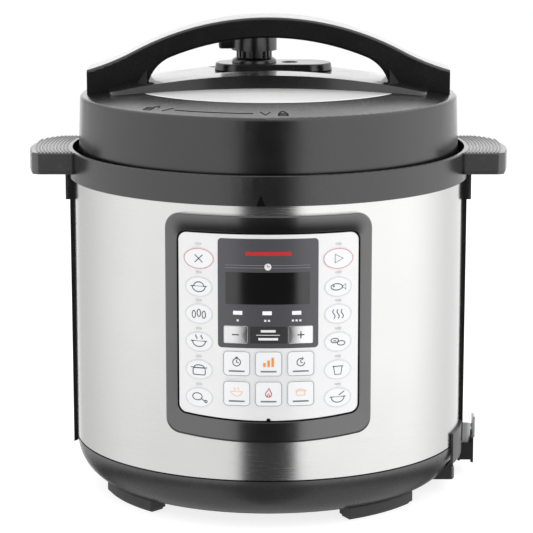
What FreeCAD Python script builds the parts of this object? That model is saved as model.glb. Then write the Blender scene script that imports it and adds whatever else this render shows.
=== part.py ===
import FreeCAD, Part
import math
import os

# Electric pressure cooker, 6 litre class.  Millimetres, +Z up, front of the
# control panel towards -Y, origin on the table under the middle of the body.
# Azimuths are degrees round +Z from the front (-Y) towards +X.

# ---- driving dimensions ------------------------------------------------------
STEEL_R = 135.0            # outer radius of the brushed steel wrap
STEEL_T = 1.0
STEEL_Z0 = 36.0
STEEL_Z1 = 220.4
SHELL_R = 138.2            # outer radius of the rear shell and the collar
COLLAR_TOP = 240.5
BASE_Z = 9.0               # underside of the base
HANDLE_END = 164.5         # how far the side handles reach from the middle
HANDLE_HALF = 41.0
PANEL_R = 139.6            # face of the panel frame
OVERLAY_R = 138.0
POT_R = 110.0              # inside of the inner pot
POT_Z = 72.0
POT_RIM = 233.0
OUTER_POT_R = 115.0
DOME_R = 624.0             # crown radius of the lid
DOME_TOP = 290.0
WINDOW_R = 97.5            # inner edge of the lid's plastic cover
LID_R = 131.8
LID_Z0 = 232.0
ARCH_HALF = 16.0           # half the depth of the lid handle
ARCH_END = 124.6
ARCH_TOP = 330.2
ARCH_UNDER = 316.0
VALVE = (-10.0, 38.0)
FLOAT = (15.0, 38.0)
TEETH = 6
FIT = 0.05                 # gap between fixed neighbours
RUN = 0.3                  # gap between moving neighbours

os.makedirs("parts", exist_ok=True)


# ---- helpers -----------------------------------------------------------------
def vec(x, y, z=0.0):
    return FreeCAD.Vector(x, y, z)


def wire(start, *moves):
    """Closed wire: a point is a straight run, a (middle, end) pair an arc."""
    edges = []
    here = start
    for move in moves:
        if isinstance(move, tuple):
            edges.append(Part.Arc(here, move[0], move[1]).toShape())
            here = move[1]
        else:
            edges.append(Part.makeLine(here, move))
            here = move
    if here.distanceToPoint(start) > 1e-6:
        edges.append(Part.makeLine(here, start))
    return Part.Wire(edges)


def face(start, *moves):
    return Part.Face(wire(start, *moves))


def rz(r, z):
    """A point of a turned profile."""
    return vec(r, 0.0, z)


def turned(start, *moves):
    return face(start, *moves).revolve(vec(0, 0, 0), vec(0, 0, 1), 360)


def box(x0, x1, y0, y1, z0, z1):
    return Part.makeBox(x1 - x0, y1 - y0, z1 - z0, vec(x0, y0, z0))


def disc(r, z0, z1, x=0.0, y=0.0):
    return Part.makeCylinder(r, z1 - z0, vec(x, y, z0))


def tube(r_in, r_out, z0, z1, x=0.0, y=0.0):
    return disc(r_out, z0, z1, x, y).cut(disc(r_in, z0 - 1, z1 + 1, x, y))


def sector(r_in, r_out, z0, z1, azimuth, half):
    """Part of a tube, centred on an azimuth."""
    ring = Part.makeCylinder(r_out, z1 - z0, vec(0, 0, z0), vec(0, 0, 1), 2 * half)
    core = disc(r_in, z0 - 1, z1 + 1)
    piece = ring.cut(core)
    piece.rotate(vec(0, 0, 0), vec(0, 0, 1), azimuth - 90 - half)
    return piece


def polar(r, azimuth):
    a = math.radians(azimuth)
    return r * math.sin(a), -r * math.cos(a)


def union(shapes):
    return shapes[0].multiFuse(shapes[1:]).removeSplitter()


def minus(shape, cutters):
    return shape.cut(Part.makeCompound(cutters))


def rounded(x0, x1, z0, z1, r, bow=0.0):
    """Upright rectangle with round corners; its lower edge may bow down."""
    s = r * (1 - math.sqrt(0.5))
    return face(
        vec(x0, 0, z0 + r),
        vec(x0, 0, z1 - r),
        (vec(x0 + s, 0, z1 - s), vec(x0 + r, 0, z1)),
        vec(x1 - r, 0, z1),
        (vec(x1 - s, 0, z1 - s), vec(x1, 0, z1 - r)),
        vec(x1, 0, z0 + r),
        (vec(x1 - s, 0, z0 + s), vec(x1 - r, 0, z0)),
        (vec((x0 + x1) / 2, 0, z0 - bow), vec(x0 + r, 0, z0))
        if bow
        else vec(x0 + r, 0, z0),
        (vec(x0 + s, 0, z0 + s), vec(x0, 0, z0 + r)),
    )


def through(outline, y0=-150.0, y1=-100.0):
    """An upright outline carried from y0 to y1."""
    moved = outline.copy()
    moved.translate(vec(0, y0, 0))
    return moved.extrude(vec(0, y1 - y0, 0))


def oval(x, z, wide, high):
    """Upright ellipse-like outline made of four arcs."""
    a = wide / 2
    b = high / 2
    k = math.sqrt(0.5)
    return face(
        vec(x - a, 0, z),
        (vec(x - a * k, 0, z + b * k), vec(x, 0, z + b)),
        (vec(x + a * k, 0, z + b * k), vec(x + a, 0, z)),
        (vec(x + a * k, 0, z - b * k), vec(x, 0, z - b)),
        (vec(x - a * k, 0, z - b * k), vec(x - a, 0, z)),
    )


def dome(r, drop=0.0):
    """Height of the lid's crown at a radius."""
    return DOME_TOP - DOME_R + math.sqrt(DOME_R * DOME_R - r * r) - drop


def dome_arc(r0, r1, drop=0.0):
    """Arc along the crown for a turned profile, ending at r1."""
    middle = (r0 + r1) / 2
    return rz(middle, dome(middle, drop)), rz(r1, dome(r1, drop))


def pipe(points, radius, bend):
    """Round bar along straight runs joined by tangent arcs."""
    edges = []
    here = points[0]
    for corner, after in zip(points[1:-1], points[2:]):
        back = (here - corner).normalize()
        ahead = (after - corner).normalize()
        half = back.getAngle(ahead) / 2
        reach = bend / math.tan(half)
        start = corner + back * reach
        end = corner + ahead * reach
        inward = (back + ahead).normalize()
        middle = corner + inward * (bend / math.sin(half) - bend)
        edges.append(Part.makeLine(here, start))
        edges.append(Part.Arc(start, middle, end).toShape())
        here = end
    edges.append(Part.makeLine(here, points[-1]))
    path = Part.Wire(edges)
    heading = edges[0].tangentAt(edges[0].FirstParameter)
    rim = Part.Wire(Part.makeCircle(radius, points[0], heading))
    return path.makePipeShell([rim], True, False)


made = {}


def save(name, shape):
    solids = shape.Solids
    shape = solids[0] if len(solids) == 1 else Part.makeCompound(solids)
    if not solids or not shape.isValid():
        raise ValueError(name + " did not come out as a valid solid")
    shape.exportStep("parts/" + name + ".step")
    made[name] = shape


# ---- the stand: base, feet, pocket for the condensate cup ---------------------
POCKET = (121.5, 160.0, 5.5, 46.5)      # x and y range kept free for the cup
POCKET_TOP = 70.0
INLET_HALF = 19.0
INLET_Z0 = 11.6
INLET_Z1 = 37.0
DRAIN = polar(130.0, 101.6)
FOOT_AZIMUTHS = (-52.5, 37.5, 127.5, 217.5)
SCREW_AZIMUTHS = (45, 135, 225, 315)
SCREW_RING = 96.0
STANDOFFS = ((-74, -36), (-74, 52), (-16, -36), (-16, 52))


def pocket(grow=0.0, top=POCKET_TOP):
    x0, x1, y0, y1 = POCKET
    return box(x0 - grow, x1, y0 - grow, y1 + grow, -1, top + grow)


def base_shell():
    shell = turned(
        rz(0, BASE_Z),
        rz(118, BASE_Z),
        (rz(129, 18), rz(STEEL_R, STEEL_Z0 - FIT)),
        rz(133.6, STEEL_Z0 - FIT),
        rz(133.6, STEEL_Z0 + 6),
        rz(131.6, STEEL_Z0 + 6),
        rz(131.6, 33),
        (rz(126.6, 19.6), rz(117.4, 11.6)),
        rz(0, 11.6),
    )
    block = box(108, 130, -36, 2, BASE_Z, 18.5)
    block = block.makeFillet(2.0, [e for e in block.Edges if e.BoundBox.XMin > 129])
    peg = disc(3.2, 5.5, 10, 125.5, -14)
    bosses = [disc(4.5, 11, 20, x, y) for x, y in STANDOFFS]
    for azimuth in SCREW_AZIMUTHS:
        bosses.append(disc(5.0, 11, 47.9, *polar(SCREW_RING, azimuth)))
    inlet_box = box(-INLET_HALF, INLET_HALF, 108, 137, INLET_Z0 - 2, INLET_Z1)
    shell = union([shell, block, peg, inlet_box] + bosses)
    cutters = [pocket(), box(-14.4, 14.4, 107, 140, 13.6, 34.4)]
    for azimuth in SCREW_AZIMUTHS:
        cutters.append(disc(2.0, 8, 48, *polar(SCREW_RING, azimuth)))
        cutters.append(disc(4.2, 8, 12, *polar(SCREW_RING, azimuth)))
    for row in range(-4, 5):
        for x0 in (-46, 6):
            cutters.append(box(x0, x0 + 40, 8 * row - 1.6, 8 * row + 1.6, 8, 12.5))
    cutters.append(sector(124, 140, 20, 24.5, 73, 4.5))
    return minus(shell, cutters)


def base_feet():
    feet = []
    for azimuth in FOOT_AZIMUTHS:
        pad = sector(104, 118, 1.5, BASE_Z - FIT, azimuth, 20)
        sole = sector(105.5, 116.5, 0, 1.6, azimuth, 19)
        feet.append(pad.fuse(sole).removeSplitter())
    return Part.makeCompound(feet)


def case_screws():
    screws = []
    for azimuth in SCREW_AZIMUTHS:
        x, y = polar(SCREW_RING, azimuth)
        head = disc(3.8, 9.6, 12, x, y)
        shank = disc(2.0, 12, 47.95, x, y)
        slot = box(x - 3, x + 3, y - 0.5, y + 0.5, 9, 10.6)
        screws.append(head.fuse(shank).cut(slot).removeSplitter())
    return Part.makeCompound(screws)


def cup_holder():
    x0, y0, y1 = 121.8, 5.8, 46.2
    body = box(x0, 146.6, y0, y1, 11.5, 24)
    outer_wall = box(144.8, 146.6, y0, y1, 9.5, 28)
    liner = box(x0, SHELL_R, y0, y1, 11.5, POCKET_TOP - 0.3).common(disc(SHELL_R - 0.2, 0, 80))
    body = union([body, outer_wall, liner])
    room = box(x0 + 1.4, 144.8, y0 + 1.4, y1 - 1.4, 13, POCKET_TOP - 1.8)
    spout = disc(3.0, 60, 80, *DRAIN)
    body = minus(body, [room, spout])
    flange = sector(STEEL_R + 0.15, 137.0, 24, 45.5, 77.3, 8.3)
    arm = sector(STEEL_R + 0.15, 137.0, 24, 33, 88.3, 4.3)
    rib = box(135.3, 137.0, 3.4, 7.1, 11.5, 33)
    return union([body, flange, arm, rib])


def condensate_cup():
    y0, y1 = 7.6, 44.4
    outside = box(123.6, 144.4, y0, y1, 13.3, 37)
    upright = [e for e in outside.Edges if e.BoundBox.ZLength > 20]
    outside = outside.makeFillet(3.0, upright)
    inside = box(124.8, 143.2, y0 + 1.2, y1 - 1.2, 14.5, 40)
    cup = outside.cut(inside)
    lip = box(143.2, 146.9, 20, 32, 34.6, 36)
    tab = box(146.9, 148.7, 20, 32, 28.5, 43.5)
    return union([cup, lip, tab])


def mains_inlet():
    flange = rounded(-18, 18, 12.4, 35.6, 3)
    plate = through(flange, 137.05, 139.4)
    barrel = through(rounded(-14.2, 14.2, 13.8, 34.2, 2), 110, 137.2)
    socket = face(
        vec(-12, 0, 16.2),
        vec(12, 0, 16.2),
        vec(12, 0, 28),
        vec(8, 0, 32),
        vec(-8, 0, 32),
        vec(-12, 0, 28),
    )
    body = plate.fuse(barrel).cut(through(socket, 121, 141))
    pins = [box(x - 2, x + 2, 118, 134, z - 1, z + 1) for x, z in ((-7, 21.5), (7, 21.5), (0, 27))]
    return union([body] + pins)


# ---- the housing ---------------------------------------------------------------
PANEL_X = 67.5
PANEL_Z0 = 66.8
PANEL_Z1 = 214.1
PANEL_BOW = 3.4
WINDOW_X = 59.5
WINDOW_Z0 = 80.4
WINDOW_Z1 = 203.0
WINDOW_BOW = 3.2


def steel_wrap():
    wrap = sector(STEEL_R - STEEL_T, STEEL_R, STEEL_Z0, STEEL_Z1, 0, 92)
    hole = through(rounded(-WINDOW_X - 2, WINDOW_X + 2, WINDOW_Z0 - 5, WINDOW_Z1 + 3, 6))
    return wrap.cut(hole)


def rear_shell():
    shell = sector(STEEL_R + 0.2, SHELL_R, STEEL_Z0, STEEL_Z1, 180, 94)
    hooks = []
    for azimuth in (90, 270):
        hooks.append(sector(STEEL_R + 0.2, SHELL_R + 3, 204, STEEL_Z1, azimuth, 6))
        hooks.append(sector(SHELL_R + 0.4, SHELL_R + 3, 219, 225.5, azimuth, 6))
    shell = union([shell] + hooks)
    notch = box(-INLET_HALF - 0.2, INLET_HALF + 0.2, 100, 150, 30, INLET_Z1 + 0.2)
    vents = []
    for row in range(6):
        z = 60 + 9 * row
        vents.append(sector(130, 145, z, z + 3.5, 180, 13))
    return minus(shell, [notch, pocket(0.2)] + vents)


def handle_plan(inset):
    """Plan of a side handle: square front corner, swept back corner."""
    end = HANDLE_END - inset
    half = HANDLE_HALF - inset
    return face(
        vec(128, -half),
        vec(end - 9, -half),
        (vec(end - 4.4, -half + 1.6), vec(end - 2.7, -half + 6.5)),
        (vec(end, -8), vec(end - 3.5, 14)),
        (vec(end - 8, half - 11), vec(end - 18.5, half - 2)),
        vec(128, half),
    )


def side_handles(z0, z1, inset):
    plan = handle_plan(inset)
    plan.translate(vec(0, 0, z0))
    right = plan.extrude(vec(0, 0, z1 - z0))
    left = right.mirror(vec(0, 0, 0), vec(1, 0, 0))
    return [right, left]


def collar_ring():
    """Collar round the lid with the two side handles, one moulding."""
    ring = turned(
        rz(117.5, 217),
        rz(133.6, 217),
        rz(133.6, STEEL_Z1 + 0.2),
        rz(SHELL_R, STEEL_Z1 + 0.2),
        rz(SHELL_R, COLLAR_TOP - 1),
        (rz(SHELL_R - 0.3, COLLAR_TOP - 0.3), rz(SHELL_R - 1, COLLAR_TOP)),
        rz(135.9, COLLAR_TOP),
        rz(135.5, 223),
        rz(133, 220),
        rz(120, 220),
        rz(119.5, 230.95),
        rz(117.5, 230.95),
    )
    handles = []
    for handle in side_handles(227.6, COLLAR_TOP, 0):
        top = [e for e in handle.Edges if e.BoundBox.ZMin > COLLAR_TOP - 0.1]
        rims = [e for e in top if max(e.BoundBox.XMax, -e.BoundBox.XMin) > 128.5]
        handles.append(handle.makeFillet(1.2, rims).cut(disc(136.5, 220, 250)))
    body = union([ring] + handles)
    hollow = side_handles(220, COLLAR_TOP - 3, 3)
    hollow = [h.cut(disc(SHELL_R + 2.5, 219, COLLAR_TOP)) for h in hollow]
    return minus(body, hollow + [disc(3.1, 210, 224, *DRAIN)])


def handle_covers():
    """Plates that close the side handles from below."""
    covers = []
    for plate in side_handles(225.6, 227.6 - FIT, 0.4):
        covers.append(plate.cut(disc(SHELL_R + 0.2, 220, 230)))
    return Part.makeCompound(covers)


# ---- the cooking vessel ----------------------------------------------------------
TOOTH_R = 122.0
TOOTH_HALF = 12.0


def outer_pot():
    """Outer vessel with the fixed bayonet teeth round its mouth."""
    body = turned(
        rz(45, 48),
        rz(OUTER_POT_R, 48),
        rz(OUTER_POT_R, 231),
        rz(117.2, 231),
        rz(117.2, 232.8),
        rz(OUTER_POT_R - 1.5, 232.8),
        rz(OUTER_POT_R - 1.5, 49.5),
        rz(45, 49.5),
    )
    teeth = []
    for i in range(TEETH):
        teeth.append(sector(116.5, TOOTH_R, 231, 232.8, 360 * i / TEETH, TOOTH_HALF))
    return union([body] + teeth)


def inner_pot():
    return turned(
        rz(0, POT_Z),
        rz(100, POT_Z),
        (rz(108.6, 75.6), rz(POT_R + 1.5, 84)),
        rz(POT_R + 1.5, POT_RIM),
        rz(116.5, POT_RIM),
        (rz(117.4, POT_RIM + 0.9), rz(116.5, POT_RIM + 1.8)),
        rz(POT_R, POT_RIM + 1.8),
        rz(POT_R, 85),
        (rz(107.3, 77.3), rz(99.6, POT_Z + 1.6)),
        rz(0, POT_Z + 1.6),
    )


def heating_plate():
    plate = turned(
        rz(13, 58),
        rz(80, 58),
        rz(88, 63),
        rz(88, POT_Z - RUN - 1.5),
        rz(86.5, POT_Z - RUN),
        rz(13, POT_Z - RUN),
    )
    element = turned(rz(35, 53.6), rz(43, 53.6), rz(43, 58.2), rz(35, 58.2))
    return union([plate, element])


def disc_spring():
    """Dished spring that carries the heating plate."""
    return turned(rz(46, 49.55), rz(50, 49.55), rz(80, 56.7), rz(80, 57.95), rz(76, 57.95), rz(46, 50.8))


SENSOR_TOP = POT_Z - RUN


def temperature_sensor():
    return turned(
        rz(0, 44),
        rz(3, 44),
        rz(3, 61),
        rz(9, 61),
        rz(11, 63),
        rz(11, SENSOR_TOP - 1),
        rz(10, SENSOR_TOP),
        rz(0, SENSOR_TOP),
    )


def sensor_spring():
    """Coil spring under the sensor cap, five rings of wire on a seat plate."""
    turns = []
    for i in range(5):
        ring = Part.makeTorus(6.5, 0.7, vec(0, 0, 52.0 + 1.9 * i), vec(0.06, 0, 1))
        turns.append(ring)
    links = []
    for i in range(4):
        side = 6.5 if i % 2 else -6.5
        links.append(disc(0.6, 52.0 + 1.9 * i, 53.9 + 1.9 * i, side, 0))
    return union(turns + links)


def pressure_switch():
    """Pressure switch on the bracket that also carries the sensor."""
    bridge = box(-49, 49, -8, 8, 46.2, 47.95)
    bridge = bridge.cut(disc(3.6, 40, 60))
    seat = tube(3.6, 9, 47.9, 50.6)
    switch = box(22, 40, -7, 7, 33, 46.3)
    plunger = disc(2.0, 46, 54.3, 31, 0)
    return union([bridge, seat, switch, plunger])


def thermal_fuse():
    clip = box(-70, -52, 24, 34, 46.4, 47.95)
    barrel = Part.makeCylinder(2.4, 16, vec(-69, 29, 44.2), vec(1, 0, 0))
    return union([clip, barrel])


def power_board():
    board = box(-80, -10, -42, 58, 20.05, 21.65)
    relay = box(-76, -58, -36, -20, 21.6, 37)
    transformer = box(-52, -28, -38, -14, 21.6, 40)
    capacitor = disc(6, 21.6, 41, -66, 2)
    film = box(-50, -32, -4, 6, 21.6, 34)
    sink = box(-76, -50, 30, 33, 21.6, 42)
    terminals = [box(-44 + 9 * i, -38 + 9 * i, 40, 48, 21.6, 32) for i in range(4)]
    return union([board, relay, transformer, capacitor, film, sink] + terminals)


# ---- the control panel --------------------------------------------------------------
BUTTON_FACE = OVERLAY_R + 0.35
OVAL_X = 45.3
OVAL_Z = (185.2, 166.4, 148.4, 129.8, 111.1, 92.3)
LEFT_OVALS = ("cancel", "rice", "multigrain", "soup", "stew", "poultry")
RIGHT_OVALS = ("start", "fish", "steam", "beans", "yogurt", "porridge")
SQUARE_X = (-20.75, 0.05, 21.05)
SQUARE_Z = (116.55, 96.4)
SQUARES = (("manual", "adjust", "delay"), ("keep_warm", "sear", "slow_cook"))
DISPLAY = (-33.0, 32.5, 126.9, 199.4)
STEP_KEYS = {"minus": (-28.9, -13.9), "plus": (13.4, 28.7)}
STEP_Z = (130.2, 141.4)
BOARD_Y = -122.0
PANEL_POSTS = ((-51.5, 82.9), (51.5, 82.9), (-51.5, 198.9), (51.5, 198.9))


def key_outlines(grow):
    """Outline of every key, with a name, grown by a margin."""
    keys = {}
    for side, names in ((-1, LEFT_OVALS), (1, RIGHT_OVALS)):
        for name, z in zip(names, OVAL_Z):
            wide, high = (20.0, 14.0) if z == OVAL_Z[0] else (18.0, 13.3)
            keys[name] = oval(side * OVAL_X, z, wide + 2 * grow, high + 2 * grow)
    for names, z in zip(SQUARES, SQUARE_Z):
        for name, x in zip(names, SQUARE_X):
            a = 8.55 + grow
            keys[name] = rounded(x - a, x + a, z - 8.1 - grow, z + 8.1 + grow, 1.4)
    for name, (x0, x1) in STEP_KEYS.items():
        keys[name] = rounded(x0 - grow, x1 + grow, STEP_Z[0] - grow, STEP_Z[1] + grow, 1.0)
    return keys


def key_centres():
    places = {}
    for side, names in ((-1, LEFT_OVALS), (1, RIGHT_OVALS)):
        for name, z in zip(names, OVAL_Z):
            places[name] = (side * OVAL_X, z)
    for names, z in zip(SQUARES, SQUARE_Z):
        for name, x in zip(names, SQUARE_X):
            places[name] = (x, z)
    for name, (x0, x1) in STEP_KEYS.items():
        places[name] = ((x0 + x1) / 2, sum(STEP_Z) / 2)
    return places


def shell_between(r_in, r_out, outline):
    """An upright outline cut out of an upright tube."""
    front = through(outline)
    return front.common(tube(r_in, r_out, 40, 222))


def key_holes(grow):
    return [through(outline) for outline in key_outlines(grow).values()]


def panel_bezel():
    """Raised frame with the plate behind the keys."""
    outer = rounded(-PANEL_X, PANEL_X, PANEL_Z0, PANEL_Z1, 10, PANEL_BOW)
    window = rounded(-WINDOW_X, WINDOW_X, WINDOW_Z0, WINDOW_Z1, 6, WINDOW_BOW)
    frame = shell_between(STEEL_R + FIT, PANEL_R, outer)
    frame = frame.cut(through(window).cut(tube(90, OVERLAY_R - 0.9, 40, 222)))
    tabs = [Part.makeCylinder(2.6, 3.35, vec(x, -125.4, z), vec(0, 1, 0)) for x, z in PANEL_POSTS]
    holes = key_holes(0.4)
    holes.append(through(rounded(-27.2, 26.4, 156.4, 175.9, 1)))
    frame = minus(frame, holes)
    return union([frame] + tabs)


def panel_overlay():
    outline = rounded(-WINDOW_X + FIT, WINDOW_X - FIT, WINDOW_Z0 + FIT, WINDOW_Z1 - FIT, 6, WINDOW_BOW)
    sheet = shell_between(OVERLAY_R - 0.85, OVERLAY_R, outline)
    x0, x1, z0, z1 = DISPLAY
    window = through(rounded(x0, x1, z0, z1, 2.5))
    return minus(sheet, key_holes(0.3) + [window])


def display_window():
    """Smoked lens over the digits and the three lamps."""
    x0, x1, z0, z1 = DISPLAY
    outline = rounded(x0 + FIT, x1 - FIT, z0 + FIT, z1 - FIT, 2.5)
    sheet = shell_between(OVERLAY_R - 0.85, OVERLAY_R + 0.1, outline)
    return minus(sheet, key_holes(0.3))


def display_module():
    return box(-26.5, 25.7, -133.4, BOARD_Y - 0.02, 157, 175.3)


def control_board():
    board = box(-54.5, 54.5, BOARD_Y, BOARD_Y + 1.6, 80.5, 201.5)
    switches = []
    for x, z in key_centres().values():
        switches.append(box(x - 3, x + 3, BOARD_Y - 1.6, BOARD_Y + 0.2, z - 3, z + 3))
    return union([board] + switches)


def board_housing():
    tray = box(-56.5, 56.5, -119.4, -117.6, 79, 204)
    posts = [Part.makeCylinder(2.6, 1.2, vec(x, -120.35, z), vec(0, 1, 0)) for x, z in PANEL_POSTS]
    return union([tray] + posts)


def panel_keys():
    """Every key with the stem that reaches its switch."""
    keys = {}
    centres = key_centres()
    for name, outline in key_outlines(0.0).items():
        cap = shell_between(OVERLAY_R - 2.4, BUTTON_FACE, outline)
        x, z = centres[name]
        deep = math.sqrt((OVERLAY_R - 2.4) ** 2 - x * x)
        stem = Part.makeCylinder(1.8, deep + BOARD_Y - 0.4, vec(x, BOARD_Y - 2.2, z), vec(0, -1, 0))
        keys[name] = union([cap, stem])
    return keys


def wiring_harness():
    """Ribbon leads to the control board and three mains leads."""
    leads = []
    for i in range(3):
        x = -24 + 4 * i
        route = [vec(x, -121.2, 80.45), vec(x, -121.2, 27), vec(x, -39.5, 27), vec(x, -39.5, 21.7)]
        leads.append(pipe(route, 1.0, 4.5))
    for i in range(3):
        x = -7 + 7 * i
        end = -41 + 9 * i
        route = [vec(x, 109.95, 24), vec(x, 78, 24), vec(end, 62, 27), vec(end, 48.05, 27)]
        leads.append(pipe(route, 1.4, 8.0))
    return Part.makeCompound(leads)


# ---- the lid -------------------------------------------------------------------------
SCREWS = ((-44, -12), (44, -12), (-44, 14), (44, 14))


def lid_steel():
    """Pressed steel pressure lid with its inward bayonet lugs."""
    t = 1.6
    plate = turned(
        rz(0, 283),
        rz(52, 283),
        rz(58.5, dome(58.5)),
        dome_arc(58.5, 96.4),
        rz(98, 278.8),
        rz(107, 276),
        rz(110, 271),
        rz(112, 250),
        rz(115.5, 246.6),
        rz(124.6, 245.2),
        rz(127.2, 242),
        rz(127.2, 226.4),
        rz(127.2 - t, 226.4),
        rz(127.2 - t, 241.4),
        rz(123.8, 243.6),
        rz(114.8, 245.0),
        rz(110.5, 249.3),
        rz(108.4, 270.6),
        rz(106.1, 274.6),
        rz(96.8, 277.4),
        rz(95.2, dome(95.2, t)),
        dome_arc(95.2, 59.2, t),
        rz(52.7, 283 - t),
        rz(0, 283 - t),
    )
    lugs = []
    for i in range(TEETH):
        lugs.append(sector(TOOTH_R + 0.4, 126.4, 226.4, 229.0, 360 * i / TEETH, 11))
    holes = [disc(5.05, 270, 300, *VALVE), disc(4.3, 270, 300, *FLOAT)]
    for x, y in SCREWS:
        holes.append(disc(2.05, 270, 300, x, y))
    return minus(union([plate] + lugs), holes)


def lid_cover():
    """Plastic skirt and top ring of the lid."""
    shell = turned(
        rz(WINDOW_R, dome(WINDOW_R)),
        dome_arc(WINDOW_R, 127.6),
        (rz(129.5, dome(127.6) - 0.9), rz(130.3, dome(127.6) - 2.8)),
        rz(LID_R, LID_Z0),
        rz(LID_R - 2.6, LID_Z0),
        rz(127.9, dome(127.6) - 4.2),
        rz(126.6, dome(126.6, 2.4)),
        dome_arc(126.6, WINDOW_R + 0.4, 2.4),
    )
    ribs = []
    for i in range(12):
        azimuth = 15 + 30 * i
        rib = sector(112.3, 128.6, 250.6, 268, azimuth, 0.4)
        ribs.append(rib)
    return union([shell] + ribs)


def under_dome(lift):
    """Everything below the lid's crown and inside its recess."""
    crown = turned(
        rz(0, 260),
        rz(140, 260),
        rz(140, dome(140) + lift),
        dome_arc(140, 58.5, -lift),
        rz(52, 283 + lift),
        rz(0, 283 + lift),
    )
    return crown


def saddle_plan():
    return face(
        vec(-99, -45, 270),
        (vec(0, -60.5, 270), vec(99, -45, 270)),
        (vec(105.5, -40.5, 270), vec(108, -32, 270)),
        (vec(110, 0, 270), vec(108, 32, 270)),
        (vec(105.5, 40.5, 270), vec(99, 45, 270)),
        (vec(0, 60.5, 270), vec(-99, 45, 270)),
        (vec(-105.5, 40.5, 270), vec(-108, 32, 270)),
        (vec(-110, 0, 270), vec(-108, -32, 270)),
        (vec(-105.5, -40.5, 270), vec(-99, -45, 270)),
    )


def tangent_arc(start, heading, end):
    """Middle and end of the arc that leaves start along heading."""
    chord = end - start
    normal = vec(-heading.z, 0, heading.x).normalize()
    radius = chord.dot(chord) / (2 * chord.dot(normal))
    centre = start + normal * radius
    middle = (start + end) * 0.5 - centre
    return centre + middle.normalize() * abs(radius), end


def arch():
    """Carrying arch over the lid, its feet on the plastic ring."""
    crest = vec(92, 0, 307.2)
    crest_radius = (crest.x ** 2 + (ARCH_TOP - crest.z) ** 2) / (2 * (ARCH_TOP - crest.z))
    down = vec(crest_radius - ARCH_TOP + crest.z, 0, -crest.x)
    tip = vec(ARCH_END, 0, 294)
    grip = vec(66.8, 0, 302.9)
    grip_radius = (grip.x ** 2 + (ARCH_UNDER - grip.z) ** 2) / (2 * (ARCH_UNDER - grip.z))
    inward = vec(grip_radius - ARCH_UNDER + grip.z, 0, -grip.x)
    toe = vec(82, 0, 286.5)
    outer = tangent_arc(crest, down, tip)
    inner = tangent_arc(grip, inward, toe)
    half = face(
        vec(0, 0, ARCH_TOP),
        (vec(46, 0, ARCH_TOP - crest_radius + math.sqrt(crest_radius ** 2 - 46 ** 2)), crest),
        outer,
        vec(ARCH_END, 0, 265),
        vec(82, 0, 265),
        toe,
        (inner[0], grip),
        (vec(33, 0, ARCH_UNDER - grip_radius + math.sqrt(grip_radius ** 2 - 33 ** 2)), vec(0, 0, ARCH_UNDER)),
    )
    half.translate(vec(0, -ARCH_HALF, 0))
    right = half.extrude(vec(0, 2 * ARCH_HALF, 0))
    rims = [e for e in right.Edges if e.BoundBox.YLength < 0.01 and e.BoundBox.ZMin > 280 and e.Length > 20]
    right = right.makeFillet(2.2, rims)
    return union([right, right.mirror(vec(0, 0, 0), vec(1, 0, 0))])


def gusset(side, end):
    """Flare from an arch foot into the saddle."""
    a = vec(side * 97, end * (ARCH_HALF - 1), 276)
    b = vec(side * 83, end * 36, 276)
    c = vec(side * 83, end * (ARCH_HALF - 1), 276)
    top = vec(side * 83, end * (ARCH_HALF - 1), 296)
    faces = [
        Part.Face(Part.makePolygon([a, b, c, a])),
        Part.Face(Part.makePolygon([a, b, top, a])),
        Part.Face(Part.makePolygon([b, c, top, b])),
        Part.Face(Part.makePolygon([a, c, top, a])),
    ]
    solid = Part.Solid(Part.Shell(faces))
    if solid.Volume < 0:
        solid.reverse()
    return solid


PLATFORM_X = (-21.0, 28.0)       # centres of the platform's round ends
PLATFORM_HALF = 17.0
SADDLE_FLOOR = 288.0
PLATFORM_TOP = 293.5


def lid_handle():
    """Saddle plate, raised front rail and carrying arch in one moulding."""
    plan = saddle_plan().extrude(vec(0, 0, 40))
    deck = plan.common(under_dome(2.0).fuse(disc(60, 275, dome(58.5) + 2.2)))
    rail_side = face(
        vec(-115, -62, 262),
        vec(-115, -62, 279.5),
        (vec(0, -62, 295.8), vec(115, -62, 279.5)),
        vec(115, -62, 262),
    )
    rail = plan.common(rail_side.extrude(vec(0, 28, 0)))
    solid = union([deck, rail, arch()] + [gusset(s, e) for s in (-1, 1) for e in (-1, 1)])
    room = box(-70, 70, -33.9, 55.3, SADDLE_FLOOR, 295)
    room = room.makeFillet(6.0, [e for e in room.Edges if e.BoundBox.ZLength > 6])
    hollow = disc(50, 280, 285.4)
    cutters = [under_dome(0.1), room, hollow]
    solid = minus(solid, cutters)
    bosses = [disc(4.5, 283.1, 286, x, y) for x, y in SCREWS]
    solid = union([solid] + bosses)
    holes = [disc(5.05, 270, 300, *VALVE), disc(5.5, 270, 300, *FLOAT)]
    for x, y in SCREWS:
        holes.append(disc(2.05, 270, 287, x, y))
    return minus(solid, holes)


def valve_platform():
    """Raised seat with sloped round ends behind the arch."""
    y = VALVE[1]
    z0 = SADDLE_FLOOR + FIT
    top_half = PLATFORM_HALF - 0.9
    ends = [Part.makeCone(PLATFORM_HALF, top_half, PLATFORM_TOP - z0, vec(x, y, z0)) for x in PLATFORM_X]
    side = Part.makePolygon([
        vec(PLATFORM_X[0], y - PLATFORM_HALF, z0),
        vec(PLATFORM_X[0], y + PLATFORM_HALF, z0),
        vec(PLATFORM_X[0], y + top_half, PLATFORM_TOP),
        vec(PLATFORM_X[0], y - top_half, PLATFORM_TOP),
        vec(PLATFORM_X[0], y - PLATFORM_HALF, z0),
    ])
    bar = Part.Face(side).extrude(vec(PLATFORM_X[1] - PLATFORM_X[0], 0, 0))
    solid = union(ends + [bar])
    return minus(solid, [disc(5.05, 280, 300, *VALVE), disc(5.5, 280, 300, *FLOAT)])


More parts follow.
